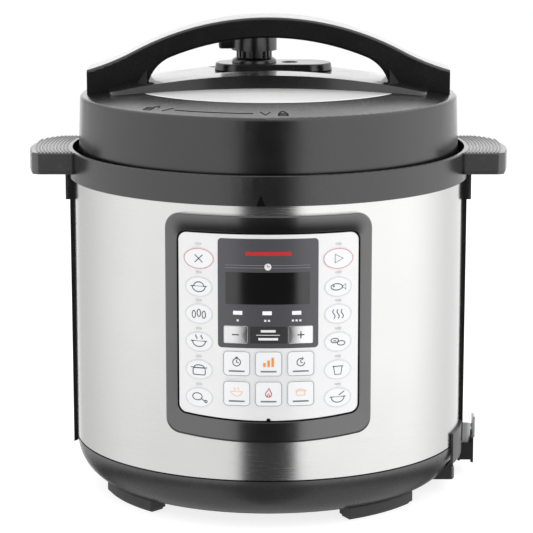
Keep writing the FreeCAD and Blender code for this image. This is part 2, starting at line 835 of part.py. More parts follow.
def valve_collar():
    ring = turned(
        rz(5.05, 0),
        rz(15.8, 0),
        rz(15.4, 2.2),
        rz(13.4, 3.6),
        rz(5.05, 3.6),
    )
    ring.translate(vec(VALVE[0], VALVE[1], PLATFORM_TOP))
    return ring


def steam_valve_knob():
    """Ribbed neck, round head and pointer wing, hollow over the pipe."""
    x, y = VALVE
    neck = disc(12.6, 297.4, 303, x, y)
    slots = []
    for i in range(18):
        slot = box(11.6, 14, -0.9, 0.9, 297, 302)
        slot.rotate(vec(0, 0, 0), vec(0, 0, 1), 20 * i)
        slot.translate(vec(x, y, 0))
        slots.append(slot)
    neck = minus(neck, slots)
    head = disc(16, 302.4, 317, x, y)
    head = head.makeFillet(2.0, [e for e in head.Edges if e.BoundBox.ZMin > 316])
    wing = box(x - 25, x, y - 4.5, y + 4.5, 303.4, 316)
    wing = wing.makeFillet(2.0, [e for e in wing.Edges if e.BoundBox.XMax < x - 24])
    solid = union([neck, head, wing])
    return solid.cut(disc(5.0 + RUN, 297, 305.5, x, y))


def exhaust_pipe():
    """Steam pipe with the nut that holds it in the lid."""
    x, y = VALVE
    bar = disc(5.0, 272, 305, x, y)
    corners = []
    for i in range(7):
        a = math.radians(60 * i)
        corners.append(vec(x + 8.6 * math.cos(a), y + 8.6 * math.sin(a), 278.4))
    nut = Part.Face(Part.makePolygon(corners)).extrude(vec(0, 0, 2.95))
    return union([bar, nut]).cut(disc(1.6, 271, 306, x, y))


def anti_block_shield():
    """Slotted cap over the pipe's inner end."""
    x, y = VALVE
    cap = disc(12.5, 266, 277.3, x, y).cut(disc(11.7, 266.8, 278, x, y))
    grip = tube(5.05, 6.2, 266.4, 275, x, y)
    cuts = []
    for i in range(8):
        slot = box(10, 14, -1.2, 1.2, 268.5, 275.5)
        slot.rotate(vec(0, 0, 0), vec(0, 0, 1), 45 * i)
        slot.translate(vec(x, y, 0))
        cuts.append(slot)
    return minus(union([cap, grip]), cuts)


def float_valve_pin():
    x, y = FLOAT
    return union([
        disc(4.0, 271, 284.4, x, y),
        disc(5.0, 283.3, 284.8, x, y),
        disc(3.9, 284.6, 292.6, x, y),
    ])


def float_valve_seal():
    x, y = FLOAT
    return tube(4.0, 6.6, 272.4, 276.2, x, y)


def sealing_ring():
    """Silicone ring with the groove that clips over the rack."""
    return turned(
        rz(111.2, 235.3),
        rz(123.0, 235.3),
        rz(123.6, 242.6),
        rz(121.2, 242.6),
        rz(120.4, 237.4),
        rz(114.2, 237.4),
        rz(113.4, 244.0),
        rz(111.0, 244.0),
    )


def ring_rack():
    """Wire hoop that holds the sealing ring, on four feet."""
    hoop = Part.makeTorus(117.2, 1.1, vec(0, 0, 239.6))
    legs = []
    for i in range(4):
        legs.append(disc(0.8, 239.6, 244.2, *polar(117.2, 45 + 90 * i)))
    return union([hoop] + legs)


def lid_screws():
    screws = []
    for x, y in SCREWS:
        head = disc(4.0, 279.0, 281.35, x, y)
        shank = disc(2.0, 281.3, 286.9, x, y)
        screws.append(head.fuse(shank).cut(box(x - 3.2, x + 3.2, y - 0.5, y + 0.5, 278, 280)))
    return Part.makeCompound(screws)


def drain_tube():
    return tube(2.0, 2.9, 64.5, 219.6, *DRAIN)


# ---- write one file for each piece --------------------------------------------------
save("base_shell", base_shell())
save("base_feet", base_feet())
save("case_screws", case_screws())
save("cup_holder", cup_holder())
save("condensate_cup", condensate_cup())
save("mains_inlet", mains_inlet())
save("steel_wrap", steel_wrap())
save("rear_shell", rear_shell())
save("collar_ring", collar_ring())
save("handle_covers", handle_covers())
save("outer_pot", outer_pot())
save("inner_pot", inner_pot())
save("heating_plate", heating_plate())
save("disc_spring", disc_spring())
save("temperature_sensor", temperature_sensor())
save("sensor_spring", sensor_spring())
save("pressure_switch", pressure_switch())
save("thermal_fuse", thermal_fuse())
save("power_board", power_board())
save("panel_bezel", panel_bezel())
save("panel_overlay", panel_overlay())
save("display_window", display_window())
save("display_module", display_module())
save("control_board", control_board())
save("board_housing", board_housing())
save("wiring_harness", wiring_harness())
save("drain_tube", drain_tube())
for key_name, key in panel_keys().items():
    save("key_" + key_name, key)
save("lid_steel", lid_steel())
save("lid_cover", lid_cover())
save("lid_handle", lid_handle())
save("lid_screws", lid_screws())
save("valve_platform", valve_platform())
save("valve_collar", valve_collar())
save("steam_valve_knob", steam_valve_knob())
save("exhaust_pipe", exhaust_pipe())
save("anti_block_shield", anti_block_shield())
save("float_valve_pin", float_valve_pin())
save("float_valve_seal", float_valve_seal())
save("sealing_ring", sealing_ring())
save("ring_rack", ring_rack())

whole = Part.makeCompound(list(made.values())).BoundBox
print(len(made), "pieces,", round(whole.XLength, 1), round(whole.YLength, 1), round(whole.ZLength, 1))
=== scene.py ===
"""Looks of a round electric pressure cooker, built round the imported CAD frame.

Every length is in metres in the frame's own axes: +Z up, the control panel towards -Y, the origin
on the table under the middle of the body.
"""

import logging
import math
from dataclasses import dataclass, field
from enum import Enum
from typing import Callable, Iterable, Sequence

import bmesh
import bpy
from mathutils import Matrix, Vector
from mathutils.geometry import delaunay_2d_cdt


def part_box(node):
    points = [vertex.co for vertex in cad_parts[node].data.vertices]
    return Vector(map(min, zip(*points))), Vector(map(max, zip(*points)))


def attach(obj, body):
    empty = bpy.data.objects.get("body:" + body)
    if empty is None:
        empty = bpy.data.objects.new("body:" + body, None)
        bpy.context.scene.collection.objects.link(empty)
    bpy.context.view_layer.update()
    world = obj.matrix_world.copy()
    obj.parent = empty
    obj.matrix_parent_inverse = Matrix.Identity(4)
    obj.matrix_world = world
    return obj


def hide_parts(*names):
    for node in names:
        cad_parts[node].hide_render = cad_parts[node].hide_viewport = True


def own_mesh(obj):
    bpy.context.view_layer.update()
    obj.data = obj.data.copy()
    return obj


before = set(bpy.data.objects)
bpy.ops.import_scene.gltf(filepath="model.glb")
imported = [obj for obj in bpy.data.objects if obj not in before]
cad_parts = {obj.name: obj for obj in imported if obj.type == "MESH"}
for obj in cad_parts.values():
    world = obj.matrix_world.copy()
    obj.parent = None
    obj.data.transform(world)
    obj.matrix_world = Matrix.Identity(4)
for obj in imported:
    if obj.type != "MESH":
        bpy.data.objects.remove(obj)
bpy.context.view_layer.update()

LOG = logging.getLogger("pressure_cooker")
MM = 0.001
SAME_PLACE = 1e-7
MERGE_DISTANCE = 0.002 * MM
FLAT_ANGLE = math.radians(0.25)

Colour = tuple[float, float, float]
Point = tuple[float, float]
Box = tuple[float, float, float, float]
Step = tuple[float, float, float, float]
Socket = bpy.types.NodeSocket


def mm(*lengths: float) -> tuple[float, ...]:
    """Lengths in millimetres, as metres."""
    return tuple(length * MM for length in lengths)


# ---- node trees ----------------------------------------------------------------------------------
class NodeMaker:
    """Adds nodes to a tree, each with its inputs linked or set in one call."""

    def __init__(self, tree: bpy.types.NodeTree) -> None:
        """Work on a tree.

        Args:
            tree: The node tree.
        """
        self.tree = tree

    def node(self, kind: str, values: dict | None = None, **settings: object) -> bpy.types.Node:
        """Add a node.

        Args:
            kind: Blender's type of the node.
            values: Socket names or indices, each with a value or a socket.
            settings: The node's own properties.

        Returns:
            The node.
        """
        node = self.tree.nodes.new(kind)
        for name, setting in settings.items():
            setattr(node, name, setting)
        for name, value in (values or {}).items():
            if isinstance(value, Socket):
                self.tree.links.new(value, node.inputs[name])
            else:
                node.inputs[name].default_value = value
        return node

    def math(self, operation: str, *values: float | Socket) -> Socket:
        """The result of a maths node on numbers or sockets."""
        return self.node("ShaderNodeMath", dict(enumerate(values)), operation=operation).outputs[0]


class ShaderTree(NodeMaker):
    """A material's node tree, with short calls for what the finishes need."""

    def __init__(self, name: str) -> None:
        """Make an empty principled material.

        Args:
            name: Name of the material.
        """
        self.material = bpy.data.materials.new(name)
        self.material.use_nodes = True
        super().__init__(self.material.node_tree)
        self.tree.nodes.clear()
        self.surface = self.node("ShaderNodeBsdfPrincipled")
        self.node("ShaderNodeOutputMaterial", {0: self.surface.outputs[0]})
        self.place = self.node("ShaderNodeTexCoord").outputs["Object"]

    def set(self, **values: float | Colour) -> None:
        """Set constants on the shader's own sockets; a name's underscores stand for spaces.

        Args:
            values: The constants by the name of their socket.
        """
        for name, value in values.items():
            socket = self.surface.inputs[name.replace("_", " ")]
            socket.default_value = (*value, 1.0) if isinstance(value, tuple) else value

    def feed(self, name: str, source: Socket) -> None:
        """Link a source to one of the shader's sockets."""
        self.tree.links.new(source, self.surface.inputs[name])

    def noise(self, scale: float, detail: float = 2.0, at: Socket | None = None,
              roughness: float = 0.55) -> Socket:
        """Soft random pattern.

        Args:
            scale: Spots for each metre of the coordinates.
            detail: Octaves of finer spots.
            at: Coordinates, the piece's own object coordinates if left out.
            roughness: Strength of the finer spots.

        Returns:
            A value from 0 to 1.
        """
        spots = {"Scale": scale, "Detail": detail, "Roughness": roughness, "Vector": at or self.place}
        return self.node("ShaderNodeTexNoise", spots).outputs[0]

    def spread(self, value: Socket, low: float, high: float, start: float = 0.3, end: float = 0.7) -> Socket:
        """Stretch a pattern's values to a range.

        Args:
            value: The pattern.
            low: Result at start.
            high: Result at end.
            start: Pattern value that gives low.
            end: Pattern value that gives high.

        Returns:
            The stretched value.
        """
        limits = {"Value": value, "From Min": start, "From Max": end, "To Min": low, "To Max": high}
        return self.node("ShaderNodeMapRange", limits).outputs[0]

    def blend(self, factor: Socket, *tones: Colour | Socket) -> Socket:
        """A colour between two colours or sockets.

        Args:
            factor: 0 for the first tone, 1 for the second.
            tones: The two tones.

        Returns:
            The mixed colour.
        """
        node = self.node("ShaderNodeMix", {0: factor}, data_type="RGBA")
        colours = [socket for socket in node.inputs if socket.type == "RGBA"]
        for socket, tone in zip(colours, tones):
            if isinstance(tone, Socket):
                self.tree.links.new(tone, socket)
            else:
                socket.default_value = (*tone, 1.0)
        return next(socket for socket in node.outputs if socket.type == "RGBA")

    def relief(self, height: Socket, depth: float, strength: float = 1.0) -> None:
        """Press a pattern into the surface.

        Args:
            height: The pattern.
            depth: Depth in metres.
            strength: Share of the depth that shows.
        """
        bump = self.node("ShaderNodeBump", {"Strength": strength, "Distance": depth, "Height": height})
        self.feed("Normal", bump.outputs[0])

    def turned_place(self) -> tuple[Socket, Socket, Socket]:
        """Azimuth in radians, distance from the body's axis and height of a point.

        Returns:
            The three values as sockets.
        """
        x, y, z = self.node("ShaderNodeSeparateXYZ", {0: self.place}).outputs
        azimuth = self.math("ARCTAN2", x, self.math("MULTIPLY", y, -1.0))
        squares = self.math("ADD", self.math("MULTIPLY", x, x), self.math("MULTIPLY", y, y))
        return azimuth, self.math("SQRT", squares), z


def shade(colour: Colour, factor: float) -> Colour:
    """A colour made lighter or darker."""
    return tuple(min(1.0, part * factor) for part in colour)


# ---- finishes ------------------------------------------------------------------------------------
@dataclass(frozen=True)
class Finish:
    """A finish that one material slot of the record has.

    Attributes:
        name: Name of the material.
        slot: Slot of the record; not used.
        colour: Linear base colour.
        roughness: Roughness of the shader.
    """

    name: str
    slot: str
    colour: Colour
    roughness: float = 0.4

    def dress(self, tree: ShaderTree) -> None:
        """Add the nodes of this finish to a tree."""
        tree.set(Base_Color=self.colour, Roughness=self.roughness)

    def material(self) -> bpy.types.Material:
        """The Blender material, made once.

        Returns:
            The material of this finish's name.
        """
        known = bpy.data.materials.get(self.name)
        if known is not None:
            return known
        tree = ShaderTree(self.name)
        self.dress(tree)
        return tree.material

    def mottle(self, tree: ShaderTree, pattern: Socket, tones: Point, gloss: Point) -> None:
        """Vary the tone and the gloss with a pattern.

        Args:
            tree: The material's tree.
            pattern: A value from 0 to 1.
            tones: Factors of the colour at the pattern's two ends.
            gloss: Changes of the roughness at its two ends.
        """
        tree.feed("Base Color", tree.blend(pattern, *(shade(self.colour, factor) for factor in tones)))
        tree.feed("Roughness", tree.spread(pattern, *(self.roughness + change for change in gloss)))


@dataclass(frozen=True)
class MouldedPlastic(Finish):
    """Injection moulded plastic: a fine spark-eroded grain over a faintly uneven gloss.

    Attributes:
        grain: Depth of the grain in metres.
        grain_scale: Grains for each metre.
        coat: Weight of a polished skin.
        specular: Strength of the reflection.
        outer: Colour of the parts far from the body's axis, painted there for light and shade; the same if
            None.
        outer_from: Distance from the axis where those parts start.
        outer_blend: Width of the passage between the two colours.
    """

    grain: float = 0.00002
    grain_scale: float = 2600.0
    coat: float = 0.0
    specular: float = 0.5
    outer: Colour | None = None
    outer_from: float = 139.0 * MM
    outer_blend: float = 1.5 * MM

    def dress(self, tree: ShaderTree) -> None:
        """Grain, mottling and gloss of moulded plastic.

        Args:
            tree: The material's tree.
        """
        tree.set(Specular_IOR_Level=self.specular, Coat_Weight=self.coat, Coat_Roughness=0.06)
        cloud = tree.noise(45.0, 3.0)
        fine = tree.noise(self.grain_scale, 2.0)
        tone = tree.blend(cloud, shade(self.colour, 0.86), shade(self.colour, 1.14))
        # Painted light: from outer_from outwards the plastic is painted the outer tone, which stands for
        # light and shade, not for a second plastic.
        if self.outer is not None:
            _, radius, _ = tree.turned_place()
            share = tree.spread(radius, 0.0, 1.0, self.outer_from, self.outer_from + self.outer_blend)
            outer = tree.blend(cloud, shade(self.outer, 0.9), shade(self.outer, 1.1))
            tone = tree.blend(share, tone, outer)
        tree.feed("Base Color", tone)
        smear = tree.math("ADD", tree.spread(cloud, -0.025, 0.025), tree.spread(fine, -0.02, 0.02))
        tree.feed("Roughness", tree.math("ADD", smear, self.roughness))
        tree.relief(fine, self.grain)


class Lay(Enum):
    """Direction of the lines that brushing or spinning leaves in metal."""

    ROUND_WALL = "round the wall"
    ROUND_CROWN = "round the crown"


@dataclass(frozen=True)
class WorkedMetal(Finish):
    """Sheet metal with fine brushed or spun lines and the stretched gloss that they give.

    Attributes:
        lay: Direction of the lines.
        stretch: Anisotropy of the gloss.
        lines: Lines for each metre across the lay.
        contrast: How much the lines differ in tone.
        metal: Share of the mirror-like part, the rest is scattered by the lines.
        depth: Depth of the lines in metres.
    """

    lay: Lay = Lay.ROUND_WALL
    stretch: float = 0.7
    lines: float = 5200.0
    contrast: float = 0.06
    metal: float = 1.0
    depth: float = 0.000012

    def dress(self, tree: ShaderTree) -> None:
        """Lines round the axis, in tone, gloss and relief.

        Args:
            tree: The material's tree.
        """
        tree.set(Metallic=self.metal, Anisotropic=self.stretch, Anisotropic_Rotation=0.25)
        azimuth, radius, height = tree.turned_place()
        across = height if self.lay is Lay.ROUND_WALL else radius
        along = tree.math("MULTIPLY", azimuth, 3.2)
        seam = tree.node("ShaderNodeCombineXYZ", {0: along, 1: tree.math("MULTIPLY", across, self.lines)})
        line = tree.noise(1.0, 4.0, seam.outputs[0], 0.7)
        cloud = tree.noise(14.0, 2.0)
        low, high = 1.0 - self.contrast, 1.0 + self.contrast
        tree.feed("Base Color", tree.blend(line, shade(self.colour, low), shade(self.colour, high)))
        gloss = tree.math("ADD", tree.spread(line, -0.05, 0.05), tree.spread(cloud, -0.02, 0.02))
        tree.feed("Roughness", tree.math("ADD", gloss, self.roughness))
        tree.feed("Tangent", tree.node("ShaderNodeTangent", direction_type="RADIAL", axis="Z").outputs[0])
        tree.relief(line, self.depth, 0.6)


@dataclass(frozen=True)
class MetalPart(Finish):
    """Small plated, cast or sprung metal piece."""

    def dress(self, tree: ShaderTree) -> None:
        """Cloudy metal with fine tool marks.

        Args:
            tree: The material's tree.
        """
        tree.set(Metallic=1.0)
        cloud = tree.noise(220.0, 4.0)
        self.mottle(tree, cloud, tones=(0.82, 1.1), gloss=(-0.08, 0.1))
        tree.relief(tree.noise(1500.0, 2.0), 0.00002)


@dataclass(frozen=True)
class PrintedFilm(Finish):
    """Silvered polyester film with a fine metal fleck under a satin lacquer.

    Attributes:
        metal: Share of bare metal in the film.
    """

    metal: float = 0.12

    def dress(self, tree: ShaderTree) -> None:
        """Fleck in the tone, a soft orange peel in the lacquer.

        Args:
            tree: The material's tree.
        """
        tree.set(Metallic=self.metal, Coat_Weight=0.25, Coat_Roughness=0.12)
        fleck = tree.noise(5200.0, 1.0)
        cloud = tree.noise(60.0, 2.0)
        tree.feed("Base Color", tree.blend(fleck, shade(self.colour, 0.95), shade(self.colour, 1.05)))
        tree.feed("Roughness", tree.spread(cloud, self.roughness - 0.03, self.roughness + 0.03))
        tree.relief(tree.noise(900.0, 1.0), 0.000004)


@dataclass(frozen=True)
class ClearPlastic(Finish):
    """Clear or smoked moulding.

    Attributes:
        clarity: Share of the light that passes.
    """

    clarity: float = 0.8

    def dress(self, tree: ShaderTree) -> None:
        """Cloudy see-through plastic.

        Args:
            tree: The material's tree.
        """
        tree.set(Transmission_Weight=self.clarity, IOR=1.49)
        cloud = tree.noise(120.0, 3.0)
        self.mottle(tree, cloud, tones=(0.96, 1.03), gloss=(-0.04, 0.06))
        tree.relief(tree.noise(700.0, 2.0), 0.00001)


@dataclass(frozen=True)
class SoftRubber(Finish):
    """Silicone or rubber with a dusty, slightly translucent skin.

    Attributes:
        depth: Share of the light that is scattered inside.
    """

    depth: float = 0.15

    def dress(self, tree: ShaderTree) -> None:
        """Dull skin with light scattered inside.

        Args:
            tree: The material's tree.
        """
        tree.set(Subsurface_Weight=self.depth, Subsurface_Scale=0.002, Sheen_Weight=0.1)
        cloud = tree.noise(300.0, 3.0)
        self.mottle(tree, cloud, tones=(0.9, 1.08), gloss=(-0.05, 0.08))
        tree.relief(tree.noise(2200.0, 2.0), 0.00003)


@dataclass(frozen=True)
class CircuitBoard(Finish):
    """Solder mask over copper tracks, with pads that shine through."""

    def dress(self, tree: ShaderTree) -> None:
        """Track pattern from stretched cells.

        Args:
            tree: The material's tree.
        """
        tree.set(Coat_Weight=0.4)
        cells = tree.node("ShaderNodeTexVoronoi", {"Scale": 260.0, "Vector": tree.place},
                          distance="MANHATTAN", feature="F1")
        track = tree.spread(cells.outputs["Distance"], 0.0, 1.0, 0.42, 0.5)
        self.mottle(tree, track, tones=(0.7, 1.7), gloss=(0.0, 0.12))
        tree.relief(track, 0.00004)


SATIN_BLACK = MouldedPlastic("satin_black", "black_plastic", (0.005, 0.005, 0.0052), 0.26, specular=0.8)
# Painted highlight: the grip ribs are the same black plastic as the grip, painted a lighter grey for the
# light that their tops catch.
RIB_PAINTED_HIGHLIGHT = MouldedPlastic("rib_painted_highlight", "black_plastic", (0.15, 0.15, 0.151), 0.4, specular=0.8)
# Painted highlight: past 139 mm from the axis the grips, collar and rear shell are painted lighter than the
# same plastic nearer in.
GRIP_BLACK = MouldedPlastic("grip_black", "black_plastic", (0.005, 0.005, 0.0052), 0.26, specular=0.8,
                            outer=(0.042, 0.042, 0.0425))
LID_BLACK = MouldedPlastic("lid_black", "lid_plastic", (0.0035, 0.0035, 0.0037), 0.24, specular=0.75)
GLOSS_BLACK = MouldedPlastic("gloss_black", "handle_plastic", (0.006, 0.006, 0.0065), 0.26, 0.00001,
                             coat=0.35)
BEZEL_BLACK = MouldedPlastic("bezel_black", "bezel_plastic", (0.005, 0.005, 0.0052), 0.2, 0.000006, coat=0.8,
                             specular=1.0)
FOOT_BLACK = SoftRubber("foot_black", "foot_rubber", (0.02, 0.02, 0.02), 0.7, depth=0.0)
# Painted sheen: the base is the same black plastic as the other mouldings, painted lighter for the light that
# it reflects.
BASE_BLACK = MouldedPlastic("base_black", "black_plastic", (0.02, 0.02, 0.0202), 0.26, specular=1.0)
# Painted highlight: the cup holder is painted a lighter grey inside 136.5 mm from the axis, on its arm in
# front of the steel, and plain dark beyond.
HOLDER_BLACK = MouldedPlastic("holder_black", "black_plastic", (0.03, 0.03, 0.0303), 0.4,
                              outer=(0.009, 0.009, 0.009), outer_from=136.5 * MM)
INLET_BLACK = MouldedPlastic("inlet_black", "inlet_plastic", (0.012, 0.012, 0.012), 0.5)
WRAP_STEEL = WorkedMetal("wrap_steel", "brushed_steel", (0.6, 0.598, 0.595), 0.24)
LID_STEEL = WorkedMetal("crown_steel", "lid_steel", (0.86, 0.86, 0.855), 0.34, Lay.ROUND_CROWN,
                        stretch=0.3, lines=4200.0, contrast=0.04, metal=0.55)
POT_STEEL = WorkedMetal("pot_steel", "pot_steel", (0.7, 0.7, 0.69), 0.24,
                        stretch=0.5, lines=3600.0, contrast=0.05)
VESSEL_STEEL = WorkedMetal("vessel_steel", "vessel_steel", (0.52, 0.52, 0.51), 0.38,
                           stretch=0.4, lines=2600.0, contrast=0.08)
CAST_METAL = MetalPart("cast_metal", "cast_aluminium", (0.62, 0.62, 0.63), 0.45)
SPRING_METAL = MetalPart("spring_metal", "spring_steel", (0.35, 0.35, 0.36), 0.35)
PLATED_METAL = MetalPart("plated_metal", "screw_steel", (0.68, 0.68, 0.69), 0.22)
SILICONE = SoftRubber("clear_silicone", "silicone", (0.74, 0.74, 0.71), 0.5, depth=0.4)
RED_SILICONE = SoftRubber("red_silicone", "red_silicone", (0.42, 0.03, 0.02), 0.5)
HOSE = SoftRubber("hose_silicone", "hose", (0.68, 0.68, 0.66), 0.4, depth=0.4)
WIRE_SLEEVE = SoftRubber("wire_sleeve", "wire_sleeve", (0.32, 0.04, 0.03), 0.45, depth=0.0)
OVERLAY_FILM = PrintedFilm("overlay_film", "overlay", (0.7, 0.7, 0.7), 0.36)
KEY_FILM = PrintedFilm("key_film", "key_film", (0.68, 0.68, 0.68), 0.34)
STEP_FILM = PrintedFilm("step_film", "step_key", (0.6, 0.6, 0.6), 0.12, metal=1.0)
SMOKED = MouldedPlastic("smoked_lens", "smoked_lens", (0.022, 0.0218, 0.021), 0.2, 0.000002, specular=1.0)
FIELD_GREY = MouldedPlastic("field_grey", "smoked_lens", (0.03, 0.03, 0.03), 0.2, 0.000002, specular=0.7)
CUP_PLASTIC = ClearPlastic("cup_plastic", "clear_plastic", (0.4, 0.405, 0.41), 0.3, clarity=0.3)
BOARD = CircuitBoard("solder_mask", "board_green", (0.012, 0.09, 0.035), 0.3)
MODULE_BLACK = MouldedPlastic("module_black", "module_black", (0.012, 0.012, 0.013), 0.35)
DISPLAY_BLACK = MouldedPlastic("display_black", "smoked_lens", (0.0035, 0.0035, 0.0038), 0.14, 0.000001,
                               coat=0.3)
SEGMENT_GREY = MouldedPlastic("segment_grey", "smoked_lens", (0.014, 0.014, 0.015), 0.3, 0.000002)
INK_DARK = MouldedPlastic("ink_dark", "key_film", (0.06, 0.06, 0.062), 0.5, 0.000002, specular=0.2)
INK_GREY = MouldedPlastic("ink_grey", "key_film", (0.17, 0.17, 0.172), 0.5, 0.000002, specular=0.2)
INK_FAINT = MouldedPlastic("ink_faint", "key_film", (0.54, 0.54, 0.545), 0.45, 0.000002, specular=0.2)
INK_PALE = MouldedPlastic("ink_pale", "smoked_lens", (0.66, 0.66, 0.66), 0.4, 0.000002)
BADGE_RED = MouldedPlastic("badge_red", "key_film", (0.42, 0.02, 0.018), 0.4, 0.000002, specular=0.3)
INK_RED = MouldedPlastic("ink_red", "key_film", (0.5, 0.03, 0.035), 0.5, 0.000002, specular=0.2)
INK_ORANGE = MouldedPlastic("ink_orange", "key_film", (0.72, 0.26, 0.05), 0.5, 0.000002, specular=0.2)
INK_PEACH = MouldedPlastic("ink_peach", "key_film", (0.78, 0.5, 0.33), 0.5, 0.000002, specular=0.2)
LAMP_WHITE = MouldedPlastic("lamp_white", "smoked_lens", (0.82, 0.82, 0.8), 0.35, 0.000004)
# Matte black for the lock marks, the collar pointer and the seam under the steel, and for the painted shadow
# round the display window.
MARK_AND_SHADOW_BLACK = MouldedPlastic("mark_and_shadow_black", "black_plastic", (0.003, 0.003, 0.003), 0.85, 0.000004,
                            specular=0.05)


# ---- pieces --------------------------------------------------------------------------------------
def finish_piece(piece: bpy.types.Object, body: str, finish: Finish, stands_for: Iterable[str] = ()) -> None:
    """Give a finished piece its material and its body.

    Args:
        piece: The piece, its object at the origin.
        body: CAD body that it rides on.
        finish: Its finish.
        stands_for: CAD nodes that it replaces.
    """
    piece.data.materials.clear()
    piece.data.materials.append(finish.material())
    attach(piece, body)
    names = tuple(stands_for)
    if names:
        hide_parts(*names)
    LOG.info("%s rides on %s, %d faces", piece.name, body, len(piece.data.polygons))


def link_mesh(name: str, mesh: bpy.types.Mesh) -> bpy.types.Object:
    """A new object in the scene for a mesh.

    Args:
        name: Name of the object.
        mesh: Its mesh.

    Returns:
        The object, at the origin.
    """
    piece = bpy.data.objects.new(name, mesh)
    bpy.context.scene.collection.objects.link(piece)
    return piece


def smooth_shading(mesh: bpy.types.Mesh, sharp_degrees: float) -> None:
    """Shade a mesh smooth, apart from edges sharper than an angle."""
    mesh.shade_smooth()
    mesh.set_sharp_from_angle(angle=math.radians(sharp_degrees))


def settle(piece: bpy.types.Object) -> bpy.types.Object:
    """Turn a piece's modifiers into plain mesh and remove them.

    Args:
        piece: A mesh object with modifiers.

    Returns:
        The same object, with the finished mesh.
    """
    graph = bpy.context.evaluated_depsgraph_get()
    made = bpy.data.meshes.new_from_object(piece.evaluated_get(graph))
    piece.modifiers.clear()
    piece.data = made
    return piece


def mesh_of(name: str, solid: bmesh.types.BMesh) -> bpy.types.Mesh:
    """A new mesh with the faces of a solid, which is freed.

    Args:
        name: Name of the mesh.
        solid: The solid.

    Returns:
        The mesh.
    """
    mesh = bpy.data.meshes.new(name)
    solid.to_mesh(mesh)
    solid.free()
    return mesh


def break_edges(piece: bpy.types.Object, width: float, sharp_degrees: float) -> None:
    """Round a piece's sharp edges by a modifier.

    Args:
        piece: The piece.
        width: Width of the rounded edges.
        sharp_degrees: Edges sharper than this are rounded.
    """
    bevel = piece.modifiers.new("broken_edges", "BEVEL")
    bevel.width = width
    bevel.segments = 2
    bevel.limit_method = "ANGLE"
    bevel.angle_limit = math.radians(sharp_degrees)
    bevel.harden_normals = True


def refine(node: str, finish: Finish, body: str, edge: float = 0.0,
           sharp_degrees: float = 28.0) -> bpy.types.Object:
    """A smooth copy of a CAD node with its edges broken, standing for the node.

    Args:
        node: CAD node.
        finish: Finish of the copy.
        body: Body that it rides on.
        edge: Width of the broken edges, none if 0.
        sharp_degrees: Edges sharper than this stay edges.

    Returns:
        The finished piece.
    """
    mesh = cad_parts[node].data.copy()
    solid = bmesh.new()
    solid.from_mesh(mesh)
    bmesh.ops.remove_doubles(solid, verts=solid.verts, dist=MERGE_DISTANCE)
    bmesh.ops.dissolve_limit(solid, angle_limit=FLAT_ANGLE, verts=solid.verts, edges=solid.edges)
    solid.to_mesh(mesh)
    solid.free()
    for layer in [a for a in mesh.attributes if a.name in ("custom_normal", "sharp_face", "sharp_edge")]:
        mesh.attributes.remove(layer)
    smooth_shading(mesh, sharp_degrees)
    piece = link_mesh(node + "_finished", mesh)
    if edge:
        break_edges(piece, edge, sharp_degrees)
    weight = piece.modifiers.new("even_shading", "WEIGHTED_NORMAL")
    weight.keep_sharp = True
    settle(piece)
    finish_piece(piece, body, finish, [node])
    return piece


Dressed = tuple[str, Finish, str, float]


def refine_all(table: Iterable[Dressed]) -> dict[str, bpy.types.Object]:
    """Refine a table of CAD nodes.

    Args:
        table: Node, finish, body and broken edge of each.

    Returns:
        The finished pieces by the name of their node.
    """
    return {node: refine(node, finish, body, edge) for node, finish, body, edge in table}


# ---- geometry nodes ------------------------------------------------------------------------------
class GeometryTree(NodeMaker):
    """A geometry node tree with named inputs, run once to give a plain mesh."""

    def __init__(self, name: str, **inputs: float | int) -> None:
        """Make a tree with one socket for each input.

        Args:
            name: Name of the tree.
            inputs: Names and values; an underscore stands for a space.
        """
        super().__init__(bpy.data.node_groups.new(name, "GeometryNodeTree"))
        self.tree.interface.new_socket("Geometry", in_out="INPUT", socket_type="NodeSocketGeometry")
        self.tree.interface.new_socket("Geometry", in_out="OUTPUT", socket_type="NodeSocketGeometry")
        self.values: dict[str, float | int] = {}
        for key, value in inputs.items():
            kind = "NodeSocketInt" if isinstance(value, int) else "NodeSocketFloat"
            label = key.replace("_", " ")
            socket = self.tree.interface.new_socket(label, in_out="INPUT", socket_type=kind)
            self.values[socket.identifier] = value
        self.inputs = self.node("NodeGroupInput").outputs
        self.end = self.node("NodeGroupOutput").inputs

    def close(self, geometry: Socket, finish: Finish) -> None:
        """End the tree: realize what it instances and give it its material.

        Args:
            geometry: The tree's last geometry.
            finish: The finish of its faces.
        """
        real = self.node("GeometryNodeRealizeInstances", {0: geometry})
        look = {"Geometry": real.outputs[0], "Material": finish.material()}
        dressed = self.node("GeometryNodeSetMaterial", look)
        self.tree.links.new(dressed.outputs[0], self.end[0])

    def run(self, piece: bpy.types.Object, sharp_degrees: float = 40.0) -> bpy.types.Object:
        """Run the tree on an object and keep the plain mesh.

        Args:
            piece: Object that the tree starts from.
            sharp_degrees: Edges sharper than this stay edges.

        Returns:
            The same object with the mesh that the tree made.
        """
        modifier = piece.modifiers.new(self.tree.name, "NODES")
        modifier.node_group = self.tree
        for identifier, value in self.values.items():
            modifier[identifier] = value
        settle(piece)
        smooth_shading(piece.data, sharp_degrees)
        return piece


def empty_mesh(name: str) -> bpy.types.Object:
    """An object with no geometry for a tree to start from."""
    return link_mesh(name, bpy.data.meshes.new(name))


# ---- plates that follow the round front -----------------------------------------------------------
def inside(point: Vector, ring: Sequence[Point]) -> bool:
    """Whether a point in x and height lies inside a closed outline.

    Args:
        point: The point.
        ring: Points of the outline.

    Returns:
        True if it lies inside.
    """
    hit = False
    for (ax, az), (bx, bz) in zip(ring, (*ring[1:], ring[0])):
        if (az > point.y) != (bz > point.y) and point.x < ax + (point.y - az) / (bz - az) * (bx - ax):
            hit = not hit
    return hit


def covered(point: Vector, outline: Sequence[Point], holes: Sequence[Sequence[Point]]) -> bool:
    """Whether a point lies inside an outline and outside its holes."""
    return inside(point, outline) and not any(inside(point, hole) for hole in holes)


